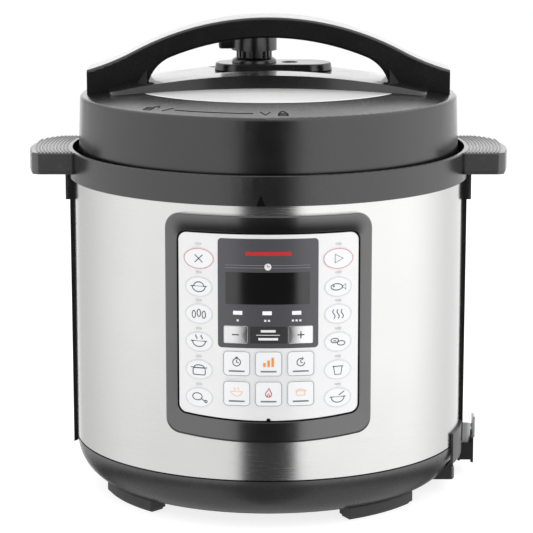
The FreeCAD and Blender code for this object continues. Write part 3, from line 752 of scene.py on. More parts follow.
def round_plate(name: str, outline: Sequence[Point], holes: Sequence[Sequence[Point]], front: float,
                back: float, edge: float = 0.15 * MM, pitch: float = 3.5 * MM) -> bpy.types.Object:
    """A closed plate that follows the round front, with holes through it.

    Args:
        name: Name of the piece.
        outline: Its outline in x and height.
        holes: Outlines of its holes.
        front: Radius of its face.
        back: Radius of its back.
        edge: Width of its broken edges.
        pitch: Spacing of the extra points that let it bend.

    Returns:
        The plain mesh piece.
    """
    rings = (outline, *holes)
    flat: list[Vector] = []
    edges: list[tuple[int, int]] = []
    for ring in rings:
        first = len(flat)
        flat += [Vector(p) for p in ring]
        edges += [(first + i, first + (i + 1) % len(ring)) for i in range(len(ring))]
    wide, high = [[p[axis] for p in outline] for axis in (0, 1)]
    for i in range(1, int((max(wide) - min(wide)) / pitch) + 1):
        for j in range(1, int((max(high) - min(high)) / (2 * pitch)) + 1):
            spot = Vector((min(wide) + i * pitch, min(high) + (2 * j - 0.5 * (i % 2)) * pitch))
            if covered(spot, outline, holes):
                flat.append(spot)
    places, _, faces, *_ = delaunay_2d_cdt(flat, edges, [], 0, SAME_PLACE)
    kept = []
    for face in faces:
        middle = sum((places[i] for i in face), Vector((0.0, 0.0))) / len(face)
        if covered(middle, outline, holes):
            kept.append(face)
    solid = bmesh.new()
    walls = RoundWall(front), RoundWall(back)
    sheets = [[solid.verts.new(wall.at(p.x, p.y, 0.0)) for p in places] for wall in walls]
    for face in kept:
        solid.faces.new([sheets[0][i] for i in face])
        solid.faces.new([sheets[1][i] for i in reversed(face)])
    solid.verts.index_update()
    count = len(places)
    for rim in [e for e in solid.edges if e.is_boundary and e.verts[0].index < count]:
        a, b = (vertex.index for vertex in rim.verts)
        solid.faces.new((sheets[0][a], sheets[0][b], sheets[1][b], sheets[1][a]))
    for loose in [v for v in solid.verts if not v.link_faces]:
        solid.verts.remove(loose)
    bmesh.ops.recalc_face_normals(solid, faces=solid.faces)
    mesh = mesh_of(name, solid)
    smooth_shading(mesh, 45.0)
    piece = link_mesh(name, mesh)
    break_edges(piece, edge, 60.0)
    return settle(piece)


# ---- surfaces that carry print and marks ---------------------------------------------------------
@dataclass(frozen=True)
class RoundWall:
    """The outside of an upright round wall, front side; u is x and v is height.

    Attributes:
        radius: Radius of the wall.
    """

    radius: float

    def at(self, u: float, v: float, lift: float) -> Vector:
        """The point of the wall at u, v, lifted off it."""
        radius = self.radius + lift
        return Vector((u, -math.sqrt(radius * radius - u * u), v))


@dataclass(frozen=True)
class WholeRound:
    """The outside of an upright round wall; u is arc length from the front and v is height.

    Attributes:
        radius: Radius of the wall.
    """

    radius: float

    def at(self, u: float, v: float, lift: float) -> Vector:
        """The point of the wall at u, v, lifted off it.

        Args:
            u: Arc length from the front.
            v: Height.
            lift: Distance off the wall.

        Returns:
            The point.
        """
        azimuth = u / self.radius
        radius = self.radius + lift
        return Vector((radius * math.sin(azimuth), -radius * math.cos(azimuth), v))


@dataclass(frozen=True)
class LidCrown:
    """The lid's crown; u is arc length round it at a middle radius, v is the way in from there.

    Attributes:
        crown_radius: Radius of the crown's sphere.
        top: Height of the crown's middle.
        middle: Distance from the axis where v is 0.
    """

    crown_radius: float
    top: float
    middle: float

    def at(self, u: float, v: float, lift: float) -> Vector:
        """The point of the crown at u, v, lifted off it.

        Args:
            u: Arc length from the front, at the middle radius.
            v: Distance in from that radius.
            lift: Height over the crown.

        Returns:
            The point.
        """
        azimuth = u / self.middle
        radius = self.middle - v
        height = self.top - self.crown_radius + math.sqrt(self.crown_radius ** 2 - radius * radius)
        return Vector((radius * math.sin(azimuth), -radius * math.cos(azimuth), height + lift))


Surface = RoundWall | WholeRound | LidCrown


def line(*points: Point) -> list[Point]:
    """A stroke through points."""
    return list(points)


def arc(x: float, z: float, wide: float, high: float, start: float = 0.0, end: float = 360.0,
        steps: int = 24) -> list[Point]:
    """A stroke along part of an ellipse.

    Args:
        x: Middle, across.
        z: Middle, up.
        wide: Half width.
        high: Half height.
        start: First angle in degrees, from the right, anticlockwise.
        end: Last angle in degrees.
        steps: Straight runs in the stroke.

    Returns:
        The stroke's points.
    """
    angles = [math.radians(start + (end - start) * i / steps) for i in range(steps + 1)]
    return [(x + wide * math.cos(a), z + high * math.sin(a)) for a in angles]


def moved(box: Box, x: float, z: float) -> Box:
    """A box that is drawn round a centre, moved to its place."""
    left, right, low, high = box
    return x + left, x + right, z + low, z + high


def wave(x: float, z: float, high: float, swing: float) -> list[Point]:
    """A rising wisp of steam."""
    return [(x + swing * math.sin(math.tau * i / 12), z + high * i / 12) for i in range(13)]


def box_stroke(x0: float, x1: float, z0: float, z1: float, corner: float) -> list[Point]:
    """A stroke round an upright box with round corners.

    Args:
        x0: Left edge.
        x1: Right edge.
        z0: Lower edge.
        z1: Upper edge.
        corner: Radius of the corners.

    Returns:
        The stroke's points, the first one again at the end.
    """
    points: list[Point] = []
    for cx, cz, start in ((x1, z1, 0), (x0, z1, 90), (x0, z0, 180), (x1, z0, 270)):
        inner_x = cx - math.copysign(corner, cx - (x0 + x1) / 2)
        inner_z = cz - math.copysign(corner, cz - (z0 + z1) / 2)
        points += arc(inner_x, inner_z, corner, corner, start, start + 90, 5)
    return points + points[:1]


@dataclass
class Print:
    """Strokes and patches in one ink on one surface.

    Attributes:
        name: Name of the piece.
        surface: Where the print lies.
        width: Width of a stroke.
        raise_by: How far the print stands off the surface.
        root: How deep a patch reaches into the surface.
        run: Longest straight run of a patch.
        strokes: Points of each stroke, in the surface's u and v.
        patches: Filled boxes in u and v.
    """

    name: str
    surface: Surface
    width: float = 0.6 * MM
    raise_by: float = 0.14 * MM
    root: float = 0.1 * MM
    run: float = 2.0 * MM
    strokes: list[list[Point]] = field(default_factory=list)
    patches: list[Box] = field(default_factory=list)

    def draw(self, strokes: Iterable[Sequence[Point]], x: float = 0.0, z: float = 0.0,
             size: float = MM) -> "Print":
        """Add strokes that are drawn round a centre.

        Args:
            strokes: The strokes, in units of size.
            x: Centre, across.
            z: Centre, up.
            size: Metres for each unit.

        Returns:
            The print itself.
        """
        for stroke in strokes:
            self.strokes.append([(x + u * size, z + v * size) for u, v in stroke])
        return self

    def fill(self, *boxes: Box) -> "Print":
        """Add filled boxes, in metres."""
        self.patches += boxes
        return self

    def stroke_mesh(self, finish: Finish) -> bpy.types.Object:
        """The strokes as low round beads, made by a tree that follows their lines.

        Args:
            finish: The ink.

        Returns:
            The plain mesh piece, not yet riding on a body.
        """
        mesh = bpy.data.meshes.new(self.name)
        points: list[Vector] = []
        edges: list[tuple[int, int]] = []
        sink = self.raise_by - self.width / 2
        for stroke in self.strokes:
            closed = math.dist(stroke[0], stroke[-1]) < SAME_PLACE
            ring = stroke[:-1] if closed else stroke
            first = len(points)
            points += [self.surface.at(u, v, sink) for u, v in ring]
            edges += [(first + i, first + i + 1) for i in range(len(ring) - 1)]
            if closed:
                edges.append((len(points) - 1, first))
        mesh.from_pydata(points, edges, [])
        tree = GeometryTree(self.name + "_beads", Bead_Radius=self.width / 2, Sides=8)
        curve = tree.node("GeometryNodeMeshToCurve", {0: tree.inputs["Geometry"]})
        bead = {"Radius": tree.inputs["Bead Radius"], "Resolution": tree.inputs["Sides"]}
        profile = tree.node("GeometryNodeCurvePrimitiveCircle", bead)
        sweep = {"Curve": curve.outputs[0], "Profile Curve": profile.outputs[0], "Fill Caps": True}
        tree.close(tree.node("GeometryNodeCurveToMesh", sweep).outputs[0], finish)
        return tree.run(link_mesh(self.name, mesh), 60.0)

    def patch_into(self, solid: bmesh.types.BMesh) -> None:
        """Add the filled boxes to a mesh as thin closed slabs that follow the surface.

        Args:
            solid: The mesh that gets them.
        """
        for x0, x1, z0, z1 in self.patches:
            steps = max(1, round((x1 - x0) / self.run))
            columns = []
            for i in range(steps + 1):
                u = x0 + (x1 - x0) * i / steps
                corners = ((z0, self.raise_by), (z1, self.raise_by), (z1, -self.root), (z0, -self.root))
                columns.append([solid.verts.new(self.surface.at(u, v, lift)) for v, lift in corners])
            for a, b in zip(columns, columns[1:]):
                for j in range(4):
                    solid.faces.new((a[j], b[j], b[(j + 1) % 4], a[(j + 1) % 4]))
            solid.faces.new(columns[0][::-1])
            solid.faces.new(columns[-1])

    def build(self, body: str, finish: Finish) -> bpy.types.Object:
        """Make the print's piece.

        Args:
            body: Body that it rides on.
            finish: Its ink.

        Returns:
            The finished piece.
        """
        piece = self.stroke_mesh(finish) if self.strokes else empty_mesh(self.name)
        if self.patches:
            solid = bmesh.new()
            solid.from_mesh(piece.data)
            old = set(solid.faces)
            self.patch_into(solid)
            bmesh.ops.recalc_face_normals(solid, faces=[f for f in solid.faces if f not in old])
            solid.to_mesh(piece.data)
            solid.free()
            smooth_shading(piece.data, 40.0)
        finish_piece(piece, body, finish)
        return piece


def row_of_blocks(name: str, finish: Finish, start: Vector, step: Vector, count: int,
                  size: Vector) -> bpy.types.Object:
    """Equal small blocks in a row, by a geometry node tree.

    Args:
        name: Name of the piece.
        finish: Its finish.
        start: Middle of the first block.
        step: Way from one block to the next.
        count: Number of blocks.
        size: Size of a block.

    Returns:
        The plain mesh piece, not yet riding on a body.
    """
    tree = GeometryTree(name + "_row", Count=count, Block_Width=size.x, Block_Depth=size.y,
                        Block_Height=size.z)
    places = {"Count": tree.inputs["Count"], "Start Location": start, "Offset": step}
    row = tree.node("GeometryNodeMeshLine", places)
    sides = [tree.inputs[key] for key in ("Block Width", "Block Depth", "Block Height")]
    measure = tree.node("ShaderNodeCombineXYZ", dict(enumerate(sides)))
    block = tree.node("GeometryNodeMeshCube", {"Size": measure.outputs[0]})
    spots = {"Points": row.outputs[0], "Instance": block.outputs[0]}
    tree.close(tree.node("GeometryNodeInstanceOnPoints", spots).outputs[0], finish)
    return tree.run(empty_mesh(name))


# ---- sub-assemblies ------------------------------------------------------------------------------
@dataclass
class Stand:
    """Base, feet, cup pocket, cup and mains inlet.

    Attributes:
        dressed: Node, finish, body and broken edge of each moulding.
        pin_size: Width and height of an inlet pin.
        pin_length: Length of a pin in the socket.
        pin_start: Distance of their roots from the inlet's inner end.
        pin_places: x and z of the three pins.
        cup_height: Height of the cup without its tab.
        brim_rise: How far the shown cup's front brim stands over the frame's.
        brim_fall: How far its brim falls towards the back.
        tab_width: How far its pull tab stands out to the side.
        tab_drop: How far the tab is lowered.
        foot_azimuths: Middles of the four feet, in degrees from the front.
        foot_share: Share of a foot's inner half that is left.
    """

    dressed: tuple[Dressed, ...] = (
        ("base_shell", BASE_BLACK, "base", 0.35 * MM),
        ("base_feet", FOOT_BLACK, "base", 0.7 * MM),
        ("cup_holder", HOLDER_BLACK, "base", 0.35 * MM),
        ("condensate_cup", CUP_PLASTIC, "cup", 0.35 * MM),
        ("mains_inlet", INLET_BLACK, "base", 0.35 * MM),
        ("case_screws", PLATED_METAL, "base", 0.35 * MM),
    )
    pin_size: Point = (4.2 * MM, 2.2 * MM)
    pin_length: float = 16.2 * MM
    pin_start: float = 7.9 * MM
    pin_places: tuple[Point, ...] = ((-0.007, 0.0215), (0.007, 0.0215), (0.0, 0.027))
    cup_height: float = 23.7 * MM
    brim_rise: float = 1.4 * MM
    brim_fall: float = 9.5 * MM
    tab_width: float = 2.4 * MM
    tab_drop: float = 4.3 * MM
    foot_azimuths: tuple[float, ...] = (-52.5, 37.5, 127.5, -142.5)
    foot_share: float = 0.5

    def build(self) -> None:
        """Dress the stand's CAD nodes and add the metal pins."""
        pieces = refine_all(self.dressed)
        self.trim_feet(pieces["base_feet"])
        self.slope_brim(pieces["condensate_cup"])
        self.pins()

    def trim_feet(self, feet: bpy.types.Object) -> None:
        """Shorten each foot at its end next to the front or back.

        Args:
            feet: The shown feet.
        """
        for vertex in feet.data.vertices:
            place = vertex.co
            azimuth = math.degrees(math.atan2(place.x, -place.y))
            middle = min(self.foot_azimuths, key=lambda other: abs(other - azimuth))
            offset = azimuth - middle
            if abs(abs(azimuth) - 90.0) > abs(abs(middle) - 90.0):
                turn = -math.radians(offset * (1.0 - self.foot_share))
                place.xy = Matrix.Rotation(turn, 2) @ place.xy

    def slope_brim(self, cup: bpy.types.Object) -> None:
        """Let the cup's brim fall towards the back and lower its pull tab.

        Args:
            cup: The shown cup.
        """
        (_, front, foot), (right, back, _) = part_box("condensate_cup")
        for vertex in cup.data.vertices:
            place = vertex.co
            if place.x > right - self.tab_width:
                place.z -= self.tab_drop
            else:
                change = self.brim_rise - self.brim_fall * (place.y - front) / (back - front)
                place.z += change * (place.z - foot) / self.cup_height

    def pins(self) -> None:
        """Metal blades over the inlet's moulded pins, with a rounded tip."""
        low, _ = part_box("mains_inlet")
        middle = low.y + self.pin_start + self.pin_length / 2
        wide, high = self.pin_size
        solid = bmesh.new()
        for x, z in self.pin_places:
            scale = Matrix.Diagonal((wide, self.pin_length, high, 1.0))
            bmesh.ops.create_cube(solid, size=1.0, matrix=Matrix.Translation((x, middle, z)) @ scale)
        bmesh.ops.bevel(solid, geom=solid.edges[:], offset=0.4 * MM, segments=2, affect="EDGES", profile=0.6)
        mesh = mesh_of("inlet_pins", solid)
        smooth_shading(mesh, 40.0)
        finish_piece(link_mesh("inlet_pins", mesh), "base", PLATED_METAL)


@dataclass
class Housing:
    """Steel wrap, rear shell, collar with its grips, and the marks on them.

    Attributes:
        dressed: Node, finish, body and broken edge of each part.
        rib_pitch: Distance between the fine ribs on a grip.
        rib_width: Width of a rib.
        rib_count: Ribs on a grip.
        first_rib: Distance of the innermost rib from the axis.
        rib_reach: Half length of the straight-ended ribs.
        rib_turn: Radius from which the ribs end earlier at the back.
        rib_curve: How quickly they then shorten.
        steel_radius: Radius of the steel wrap.
        seam_height: Height of the dark seam under the steel.
        seam_degrees: How far the seam reaches to each side.
        seam_runs: Straight runs of the seam on each side.
        skirt_height: Height of the rear shell's lower edge that is drawn in.
        skirt_inner: Radius that parts the skirt's inner edge from its outer one.
        skirt_drops: How far the inner and the outer edge are drawn down.
        skirt_draw: How far both are drawn in.
        pointer: Half width and height of the black pointer on the collar.
        pointer_x: Middle of the pointer.
        pointer_drop: How far the pointer's foot lies under the collar's top.
        pointer_radius: Radius of the collar's wall there.
    """

    dressed: tuple[Dressed, ...] = (
        ("steel_wrap", WRAP_STEEL, "base", 0.15 * MM),
        ("rear_shell", GRIP_BLACK, "base", 0.3 * MM),
        ("collar_ring", GRIP_BLACK, "base", 0.35 * MM),
        ("handle_covers", GRIP_BLACK, "base", 0.3 * MM),
    )
    rib_pitch: float = 2.35 * MM
    rib_width: float = 1.5 * MM
    rib_count: int = 10
    first_rib: float = 139.6 * MM
    rib_reach: float = 39.0 * MM
    rib_turn: float = 148.6 * MM
    rib_curve: float = 112.0
    steel_radius: float = 135.0 * MM
    seam_height: float = 36.3 * MM
    seam_degrees: float = 92.0
    seam_runs: int = 60
    skirt_height: float = 1.5 * MM
    skirt_inner: float = 136.8 * MM
    skirt_drops: Point = (5.5 * MM, 6.5 * MM)
    skirt_draw: float = 0.4 * MM
    pointer: Point = (3.0 * MM, 7.4 * MM)
    pointer_x: float = -4.9 * MM
    pointer_drop: float = 19.9 * MM
    pointer_radius: float = 138.2 * MM

    def build(self) -> None:
        """Dress the housing's CAD nodes, rib the grips and mark the collar."""
        self.tuck_in(refine_all(self.dressed)["rear_shell"])
        reach = math.radians(self.seam_degrees) * self.steel_radius
        steps = range(-self.seam_runs, self.seam_runs + 1)
        seam = Print("steel_seam", WholeRound(self.steel_radius), 1.2 * MM, 0.25 * MM)
        seam.draw([[(reach * i / self.seam_runs, self.seam_height) for i in steps]], size=1.0)
        seam.build("base", MARK_AND_SHADOW_BLACK)
        for side, name in ((-1.0, "left_grip_ribs"), (1.0, "right_grip_ribs")):
            self.ribs(name, side)
        self.pointer_mark()

    def tuck_in(self, shell: bpy.types.Object) -> None:
        """Draw the rear shell's lower edge down and in, over the base's curve.

        Args:
            shell: The shown rear shell.
        """
        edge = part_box("rear_shell")[0].z + self.skirt_height
        inner_drop, outer_drop = self.skirt_drops
        for vertex in shell.data.vertices:
            if vertex.co.z < edge:
                radius = vertex.co.xy.length
                vertex.co.z -= outer_drop if radius > self.skirt_inner else inner_drop
                vertex.co.xy *= (radius - self.skirt_draw) / radius

    def ribs(self, name: str, side: float) -> None:
        """Fine ribs round the axis on the top of one grip, ending at its rim.

        Args:
            name: Name of the piece.
            side: -1 for the left grip, 1 for the right one.
        """
        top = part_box("collar_ring")[1].z
        tree = GeometryTree(
            name + "_tree", Count=self.rib_count, Pitch=self.rib_pitch, First_Radius=self.first_rib,
            Reach=self.rib_reach, Side=side, Height=top, Bead_Radius=self.rib_width / 2,
            Turn=self.rib_turn, Curve=self.rib_curve)
        value = tree.inputs
        run = tree.node("GeometryNodeCurvePrimitiveLine", {"End": Vector((0.0, 1.0, 0.0))})
        fine = tree.node("GeometryNodeResampleCurve", {0: run.outputs[0], "Count": 16})
        copies = {0: fine.outputs[0], "Amount": value["Count"]}
        many = tree.node("GeometryNodeDuplicateElements", copies, domain="SPLINE")
        along = tree.node("GeometryNodeSplineParameter").outputs["Factor"]
        offset = tree.math("MULTIPLY", many.outputs["Duplicate Index"], value["Pitch"])
        radius = tree.math("ADD", offset, value["First Radius"])
        beyond = tree.math("MAXIMUM", tree.math("SUBTRACT", radius, value["Turn"]), 0.0)
        trimmed = tree.math("MULTIPLY", tree.math("MULTIPLY", beyond, beyond), value["Curve"])
        back = tree.math("SUBTRACT", value["Reach"], trimmed)
        front = tree.math("MULTIPLY", value["Reach"], -1.0)
        y = tree.math("ADD", front, tree.math("MULTIPLY", along, tree.math("SUBTRACT", back, front)))
        squares = tree.math("SUBTRACT", tree.math("MULTIPLY", radius, radius), tree.math("MULTIPLY", y, y))
        x = tree.math("MULTIPLY", tree.math("SQRT", squares), value["Side"])
        z = tree.math("SUBTRACT", value["Height"], tree.math("MULTIPLY", value["Bead Radius"], 0.2))
        place = tree.node("ShaderNodeCombineXYZ", {0: x, 1: y, 2: z})
        laid = tree.node("GeometryNodeSetPosition", {0: many.outputs[0], "Position": place.outputs[0]})
        bead = {"Radius": value["Bead Radius"], "Resolution": 8}
        profile = tree.node("GeometryNodeCurvePrimitiveCircle", bead)
        sweep = {"Curve": laid.outputs[0], "Profile Curve": profile.outputs[0], "Fill Caps": True}
        # The ribs take the painted highlight colour, lighter than the grip that they stand on.
        tree.close(tree.node("GeometryNodeCurveToMesh", sweep).outputs[0], RIB_PAINTED_HIGHLIGHT)
        finish_piece(tree.run(empty_mesh(name), 60.0), "base", RIB_PAINTED_HIGHLIGHT)

    def pointer_mark(self) -> None:
        """Black arrowhead on the collar that shows where the lid closes."""
        wall = RoundWall(self.pointer_radius)
        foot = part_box("collar_ring")[1].z - self.pointer_drop
        half, tall = self.pointer
        corners = ((-half, 0.0), (half, 0.0), (0.0, tall))
        mesh = bpy.data.meshes.new("collar_pointer")
        lifts = (0.06 * MM, -0.2 * MM)
        points = [wall.at(self.pointer_x + u, foot + v, lift) for lift in lifts for u, v in corners]
        faces = [(0, 1, 2), (5, 4, 3), (0, 3, 4, 1), (1, 4, 5, 2), (2, 5, 3, 0)]
        mesh.from_pydata(points, [], faces)
        finish_piece(link_mesh("collar_pointer", mesh), "base", MARK_AND_SHADOW_BLACK)


class Place(Enum):
    """Where a key sits, which decides how its face is printed."""

    OVAL = "oval"
    RED_OVAL = "oval with a red ring"
    SQUARE = "square"
    STEP = "step"


BOWL = (arc(0, 0.4, 3.4, 3.0, 180, 360), line((-4.2, 0.4), (4.2, 0.4)))
CLOCK = (arc(0, 0, 2.5, 2.5), line((0, 1.6), (0, 0), (1.3, -0.5)))
PICTOGRAMS: dict[str, tuple[list[Point], ...]] = {
    "cancel": (line((-2.0, -2.0), (2.0, 2.0)), line((-2.0, 2.0), (2.0, -2.0))),
    "start": (line((-1.7, -2.3), (-1.7, 2.3), (2.5, 0), (-1.7, -2.3)),),
    "rice": BOWL + (arc(0, 0.4, 2.6, 2.2, 0, 180),),
    "multigrain": (arc(-2.6, -0.3, 0.9, 1.9), arc(0, 0.5, 0.9, 1.9), arc(2.6, -0.3, 0.9, 1.9)),
    "soup": BOWL + (wave(-1.4, 1.4, 2.2, 0.4), wave(1.4, 1.4, 2.2, 0.4)),
    "stew": (box_stroke(-3.2, 3.2, -2.8, 0.9, 0.8), line((-4.3, 1.1), (4.3, 1.1)),
             arc(0, 1.2, 2.6, 1.3, 0, 180)),
    "poultry": (arc(-1.0, 0.5, 2.5, 1.9), line((1.0, -0.6), (3.1, -1.9)), arc(3.5, -2.0, 0.6, 0.6)),
    "fish": (arc(-0.8, 0, 3.0, 1.7), line((2.1, 0), (4.0, 1.5), (4.0, -1.5), (2.1, 0)),
             arc(-2.3, 0.4, 0.25, 0.25)),
    "steam": (wave(-2.2, -2.4, 4.8, 0.6), wave(0, -2.4, 4.8, 0.6), wave(2.2, -2.4, 4.8, 0.6)),
    "beans": (arc(-1.7, 0.7, 2.0, 1.2), arc(1.7, -0.8, 2.0, 1.2), arc(-1.7, 0.1, 0.7, 0.5, 20, 160)),
    "yogurt": (line((-2.2, 1.6), (-1.6, -2.6), (1.6, -2.6), (2.2, 1.6)), line((-2.8, 1.8), (2.8, 1.8))),
    "porridge": BOWL + (line((0.6, 1.2), (3.4, 3.2)),),
    "manual": CLOCK + (line((-0.9, 3.3), (0.9, 3.3)), line((0, 2.6), (0, 3.3))),
    "adjust": (),
    "delay": (arc(0, 0, 2.5, 2.5, 70, 360), line((0, 1.6), (0, 0), (1.3, -0.5)),
              line((0.9, 3.3), (1.7, 2.3), (0.6, 1.7))),
    "keep_warm": BOWL + (wave(-1.2, 1.2, 1.9, 0.35), wave(1.2, 1.2, 1.9, 0.35)),
    "sear": (line((0.3, 3.1), (-0.4, 1.6), (-1.9, -0.3), (-1.9, -1.8), (-0.9, -2.9), (0.9, -2.9), (1.9, -1.8),
                  (1.9, -0.2), (1.2, 0.8), (0.9, 1.6), (0.3, 3.1)),
             line((-0.9, -2.6), (0, -0.4), (0.9, -2.6))),
    "slow_cook": (box_stroke(-2.8, 2.8, -2.0, 0.9, 0.8), arc(0, 1.1, 2.4, 1.1, 0, 180),
                  line((-3.5, 1.0), (3.5, 1.0))),
    "minus": (line((-2.3, 0), (2.3, 0)),),
    "plus": (line((-2.3, 0), (2.3, 0)), line((0, -2.3), (0, 2.3))),
}
KEY_INKS: dict[str, Finish] = {
    "sear": INK_RED, "keep_warm": INK_PEACH, "slow_cook": INK_PEACH, "adjust": INK_ORANGE}


@dataclass
class ControlPanel:
    """Frame, printed overlay, display, lamps and keys.

    Attributes:
        face_radius: Face of the overlay.
        film_depth: Thickness of the overlay.
        key_lift: How far the keys stand off the overlay.
        key_root: How far a key's back lies under the overlay's face.
        frame_radius: Outer rim of the frame.
        slope_end: Radius of the frame's face at the window.
        half_width: Half width of the frame.
        frame_z: Lower and upper edge of the frame at its corners.
        bow: How far the lower edge bows down.
        window_half: Half width of the window in the frame.
        window_z: Lower and upper edge of the window at its corners.
        window_bow: How far the window's lower edge bows down.
        lamp_places: Middles of the three level lamps.
        lamp_z: Height of the lamps.
        lamp: A lamp round its middle.
        level_mark: A small square under a lamp, from the lamp's middle.
        mark_pitch: Distance between two small squares.
        square_growth: How much the square keys' caps are larger than in the frame, on each side.
        square_width: Keys wider than this are ovals.
        icon_line: Width of a sign's strokes.
        step_line: Width of the strokes on the step keys.
        oval_icon: Size of a sign's unit on the oval keys.
        icon_rise: How far the sign stands over the middle of a square key.
        adjust_bars: The three rising bars on their key.
        caption: The bar that stands for a square key's caption.
        display_field: The display's dark field.
        display_lines: Ruled lines over the display.
        badge: Plain bar over the display.
        clock_place: Middle of the clock sign.
        time_field: Field between the step keys.
        time_bars: Bars and line in that field.
        digit_size: Half height and width of an unlit digit.
        digit_lean: How far a digit leans for its height.
        digit_joint: Gap between a segment and a digit's corner.
        digit_places: Middles of the four digits.
        digit_z: Height of their middles.
        indicator_x: Distance of a column of small lamp windows from the panel's middle.
        indicator_z: Height of the lowest window and the step between two of them.
        indicator_size: Size of a window's block.
    """

    face_radius: float = 138.0 * MM
    film_depth: float = 0.8 * MM
    key_lift: float = 0.35 * MM
    key_root: float = 1.2 * MM
    frame_radius: float = 139.6 * MM
    slope_end: float = 138.2 * MM
    half_width: float = 67.5 * MM
    frame_z: Point = mm(66.8, 214.1)
    bow: float = 3.4 * MM
    window_half: float = 59.45 * MM
    window_z: Point = mm(80.45, 202.95)
    window_bow: float = 3.2 * MM
    lamp_places: tuple[float, ...] = mm(-20.0, -0.9, 18.3)
    lamp_z: float = 150.4 * MM
    lamp: Box = mm(-3.0, 3.0, -1.25, 1.25)
    level_mark: Box = mm(-0.7, 0.7, -5.7, -4.4)
    mark_pitch: float = 2.4 * MM
    square_growth: float = 0.5 * MM
    square_width: float = 17.5 * MM
    icon_line: float = 0.8 * MM
    step_line: float = 1.1 * MM
    oval_icon: float = 1.25 * MM
    icon_rise: float = 0.9 * MM
    adjust_bars: tuple[Box, ...] = (
        mm(-3.5, -1.9, -2.8, -0.2), mm(-0.8, 0.8, -2.8, 1.5), mm(1.9, 3.5, -2.8, 3.2))
    caption: Box = mm(-5.2, 5.2, -5.6, -4.6)
    display_field: Box = mm(-27.9, 26.8, 156.1, 177.2)
    display_lines: tuple[Box, ...] = (
        mm(-28.2, -3.2, 181.7, 182.1), mm(2.4, 27.2, 181.7, 182.1),
        mm(-28.2, -3.2, 180.0, 180.4), mm(2.4, 27.2, 180.0, 180.4))
    badge: Box = mm(-15.0, 15.0, 188.3, 190.9)
    clock_place: Point = mm(-0.4, 180.9)
    time_field: Box = mm(-12.0, 12.0, 130.2, 141.4)
    time_bars: tuple[Box, ...] = (
        mm(-5.0, 4.6, 137.6, 139.2), mm(-8.0, 7.4, 135.55, 135.95), mm(-6.6, 6.2, 132.3, 133.9))
    digit_size: Point = mm(5.4, 6.6)
    digit_lean: float = 0.09
    digit_joint: float = 1.1 * MM
    digit_places: tuple[float, ...] = mm(-18.6, -8.4, 6.8, 17.0)
    digit_z: float = 166.2 * MM
    indicator_x: float = 45.3 * MM
    indicator_z: Point = mm(101.3, 18.7)
    indicator_size: tuple[float, float, float] = mm(4.0, 2.0, 1.0)

    def build(self) -> None:
        """Build the frame, dress the overlay and keys, and print them."""
        self.frame_ring()
        self.window_line()
        refine("display_window", SMOKED, "base", 0.12 * MM)
        nodes = sorted(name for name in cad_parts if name.startswith("key_"))
        window = self.outline(self.window_half, *self.window_z, 6 * MM, self.window_bow)
        holes = [self.key_outline(node, 0.05 * MM) for node in nodes]
        back = self.face_radius - self.film_depth
        sheet = round_plate("overlay_sheet", window, holes, self.face_radius, back, 0.03 * MM)
        finish_piece(sheet, "base", OVERLAY_FILM, ["panel_overlay"])
        for node in nodes:
            self.key(node)
        self.display()
        self.indicators()

    def outline(self, half: float, z0: float, z1: float, corner: float, bow: float) -> list[Point]:
        """Points round an upright window whose lower edge bows down.

        Args:
            half: Half width.
            z0: Lower edge at the corners.
            z1: Upper edge.
            corner: Corner radius.
            bow: Depth of the lower edge's bow at its middle.

        Returns:
            The same number of points for any size, anticlockwise from the right upper corner.
        """
        points: list[Point] = []
        for cx, cz, start in ((half - corner, z1 - corner, 0), (-half + corner, z1 - corner, 90),
                              (-half + corner, z0 + corner, 180), (half - corner, z0 + corner, 270)):
            points += arc(cx, cz, corner, corner, start, start + 90, 10)
            if start == 0:
                points += [(half - corner - 2 * (half - corner) * i / 24, z1) for i in range(1, 24)]
            if start == 90:
                points += [(-half, z1 - corner - (z1 - z0 - 2 * corner) * i / 12) for i in range(1, 12)]
            if start == 180:
                for i in range(1, 24):
                    t = -1 + i / 12
                    points.append((t * (half - corner), z0 - bow * (1 - t * t)))
            if start == 270:
                points += [(half, z0 + corner + (z1 - z0 - 2 * corner) * i / 12) for i in range(1, 12)]
        return points

    def frame_ring(self) -> None:
        """Frame whose face slopes in from a rounded rim to the window."""
        z0, z1 = self.frame_z
        w0, w1 = self.window_z
        outer = self.outline(self.half_width, z0, z1, 10 * MM, self.bow)
        inner = self.outline(self.window_half, w0, w1, 6 * MM, self.window_bow)
        # The share of the way from the rim to the window, and the face's radius there.
        sections = (
            (0.0, 135.1 * MM), (0.0, self.frame_radius - 0.7 * MM), (0.02, self.frame_radius - 0.3 * MM),
            (0.06, self.frame_radius - 0.06 * MM), (0.12, self.frame_radius - 0.05 * MM),
            (0.94, self.slope_end + 0.1 * MM), (0.985, self.slope_end - 0.05 * MM),
            (1.0, self.slope_end - 0.35 * MM), (1.0, 136.9 * MM), (0.5, 135.4 * MM))
        points: list[Vector] = []
        for share, radius in sections:
            wall = RoundWall(radius)
            for (xo, zo), (xi, zi) in zip(outer, inner):
                points.append(wall.at(xo + share * (xi - xo), zo + share * (zi - zo), 0.0))
        count = len(outer)
        faces = []
        for ring in range(len(sections)):
            after = (ring + 1) % len(sections)
            for i in range(count):
                j = (i + 1) % count
                faces.append((ring * count + i, ring * count + j, after * count + j, after * count + i))
        mesh = bpy.data.meshes.new("panel_frame")
        mesh.from_pydata(points, [], faces)
        solid = bmesh.new()
        solid.from_mesh(mesh)
        bmesh.ops.recalc_face_normals(solid, faces=solid.faces)
        solid.to_mesh(mesh)
        solid.free()
        smooth_shading(mesh, 50.0)
        finish_piece(link_mesh("panel_frame", mesh), "base", BEZEL_BLACK, ["panel_bezel"])

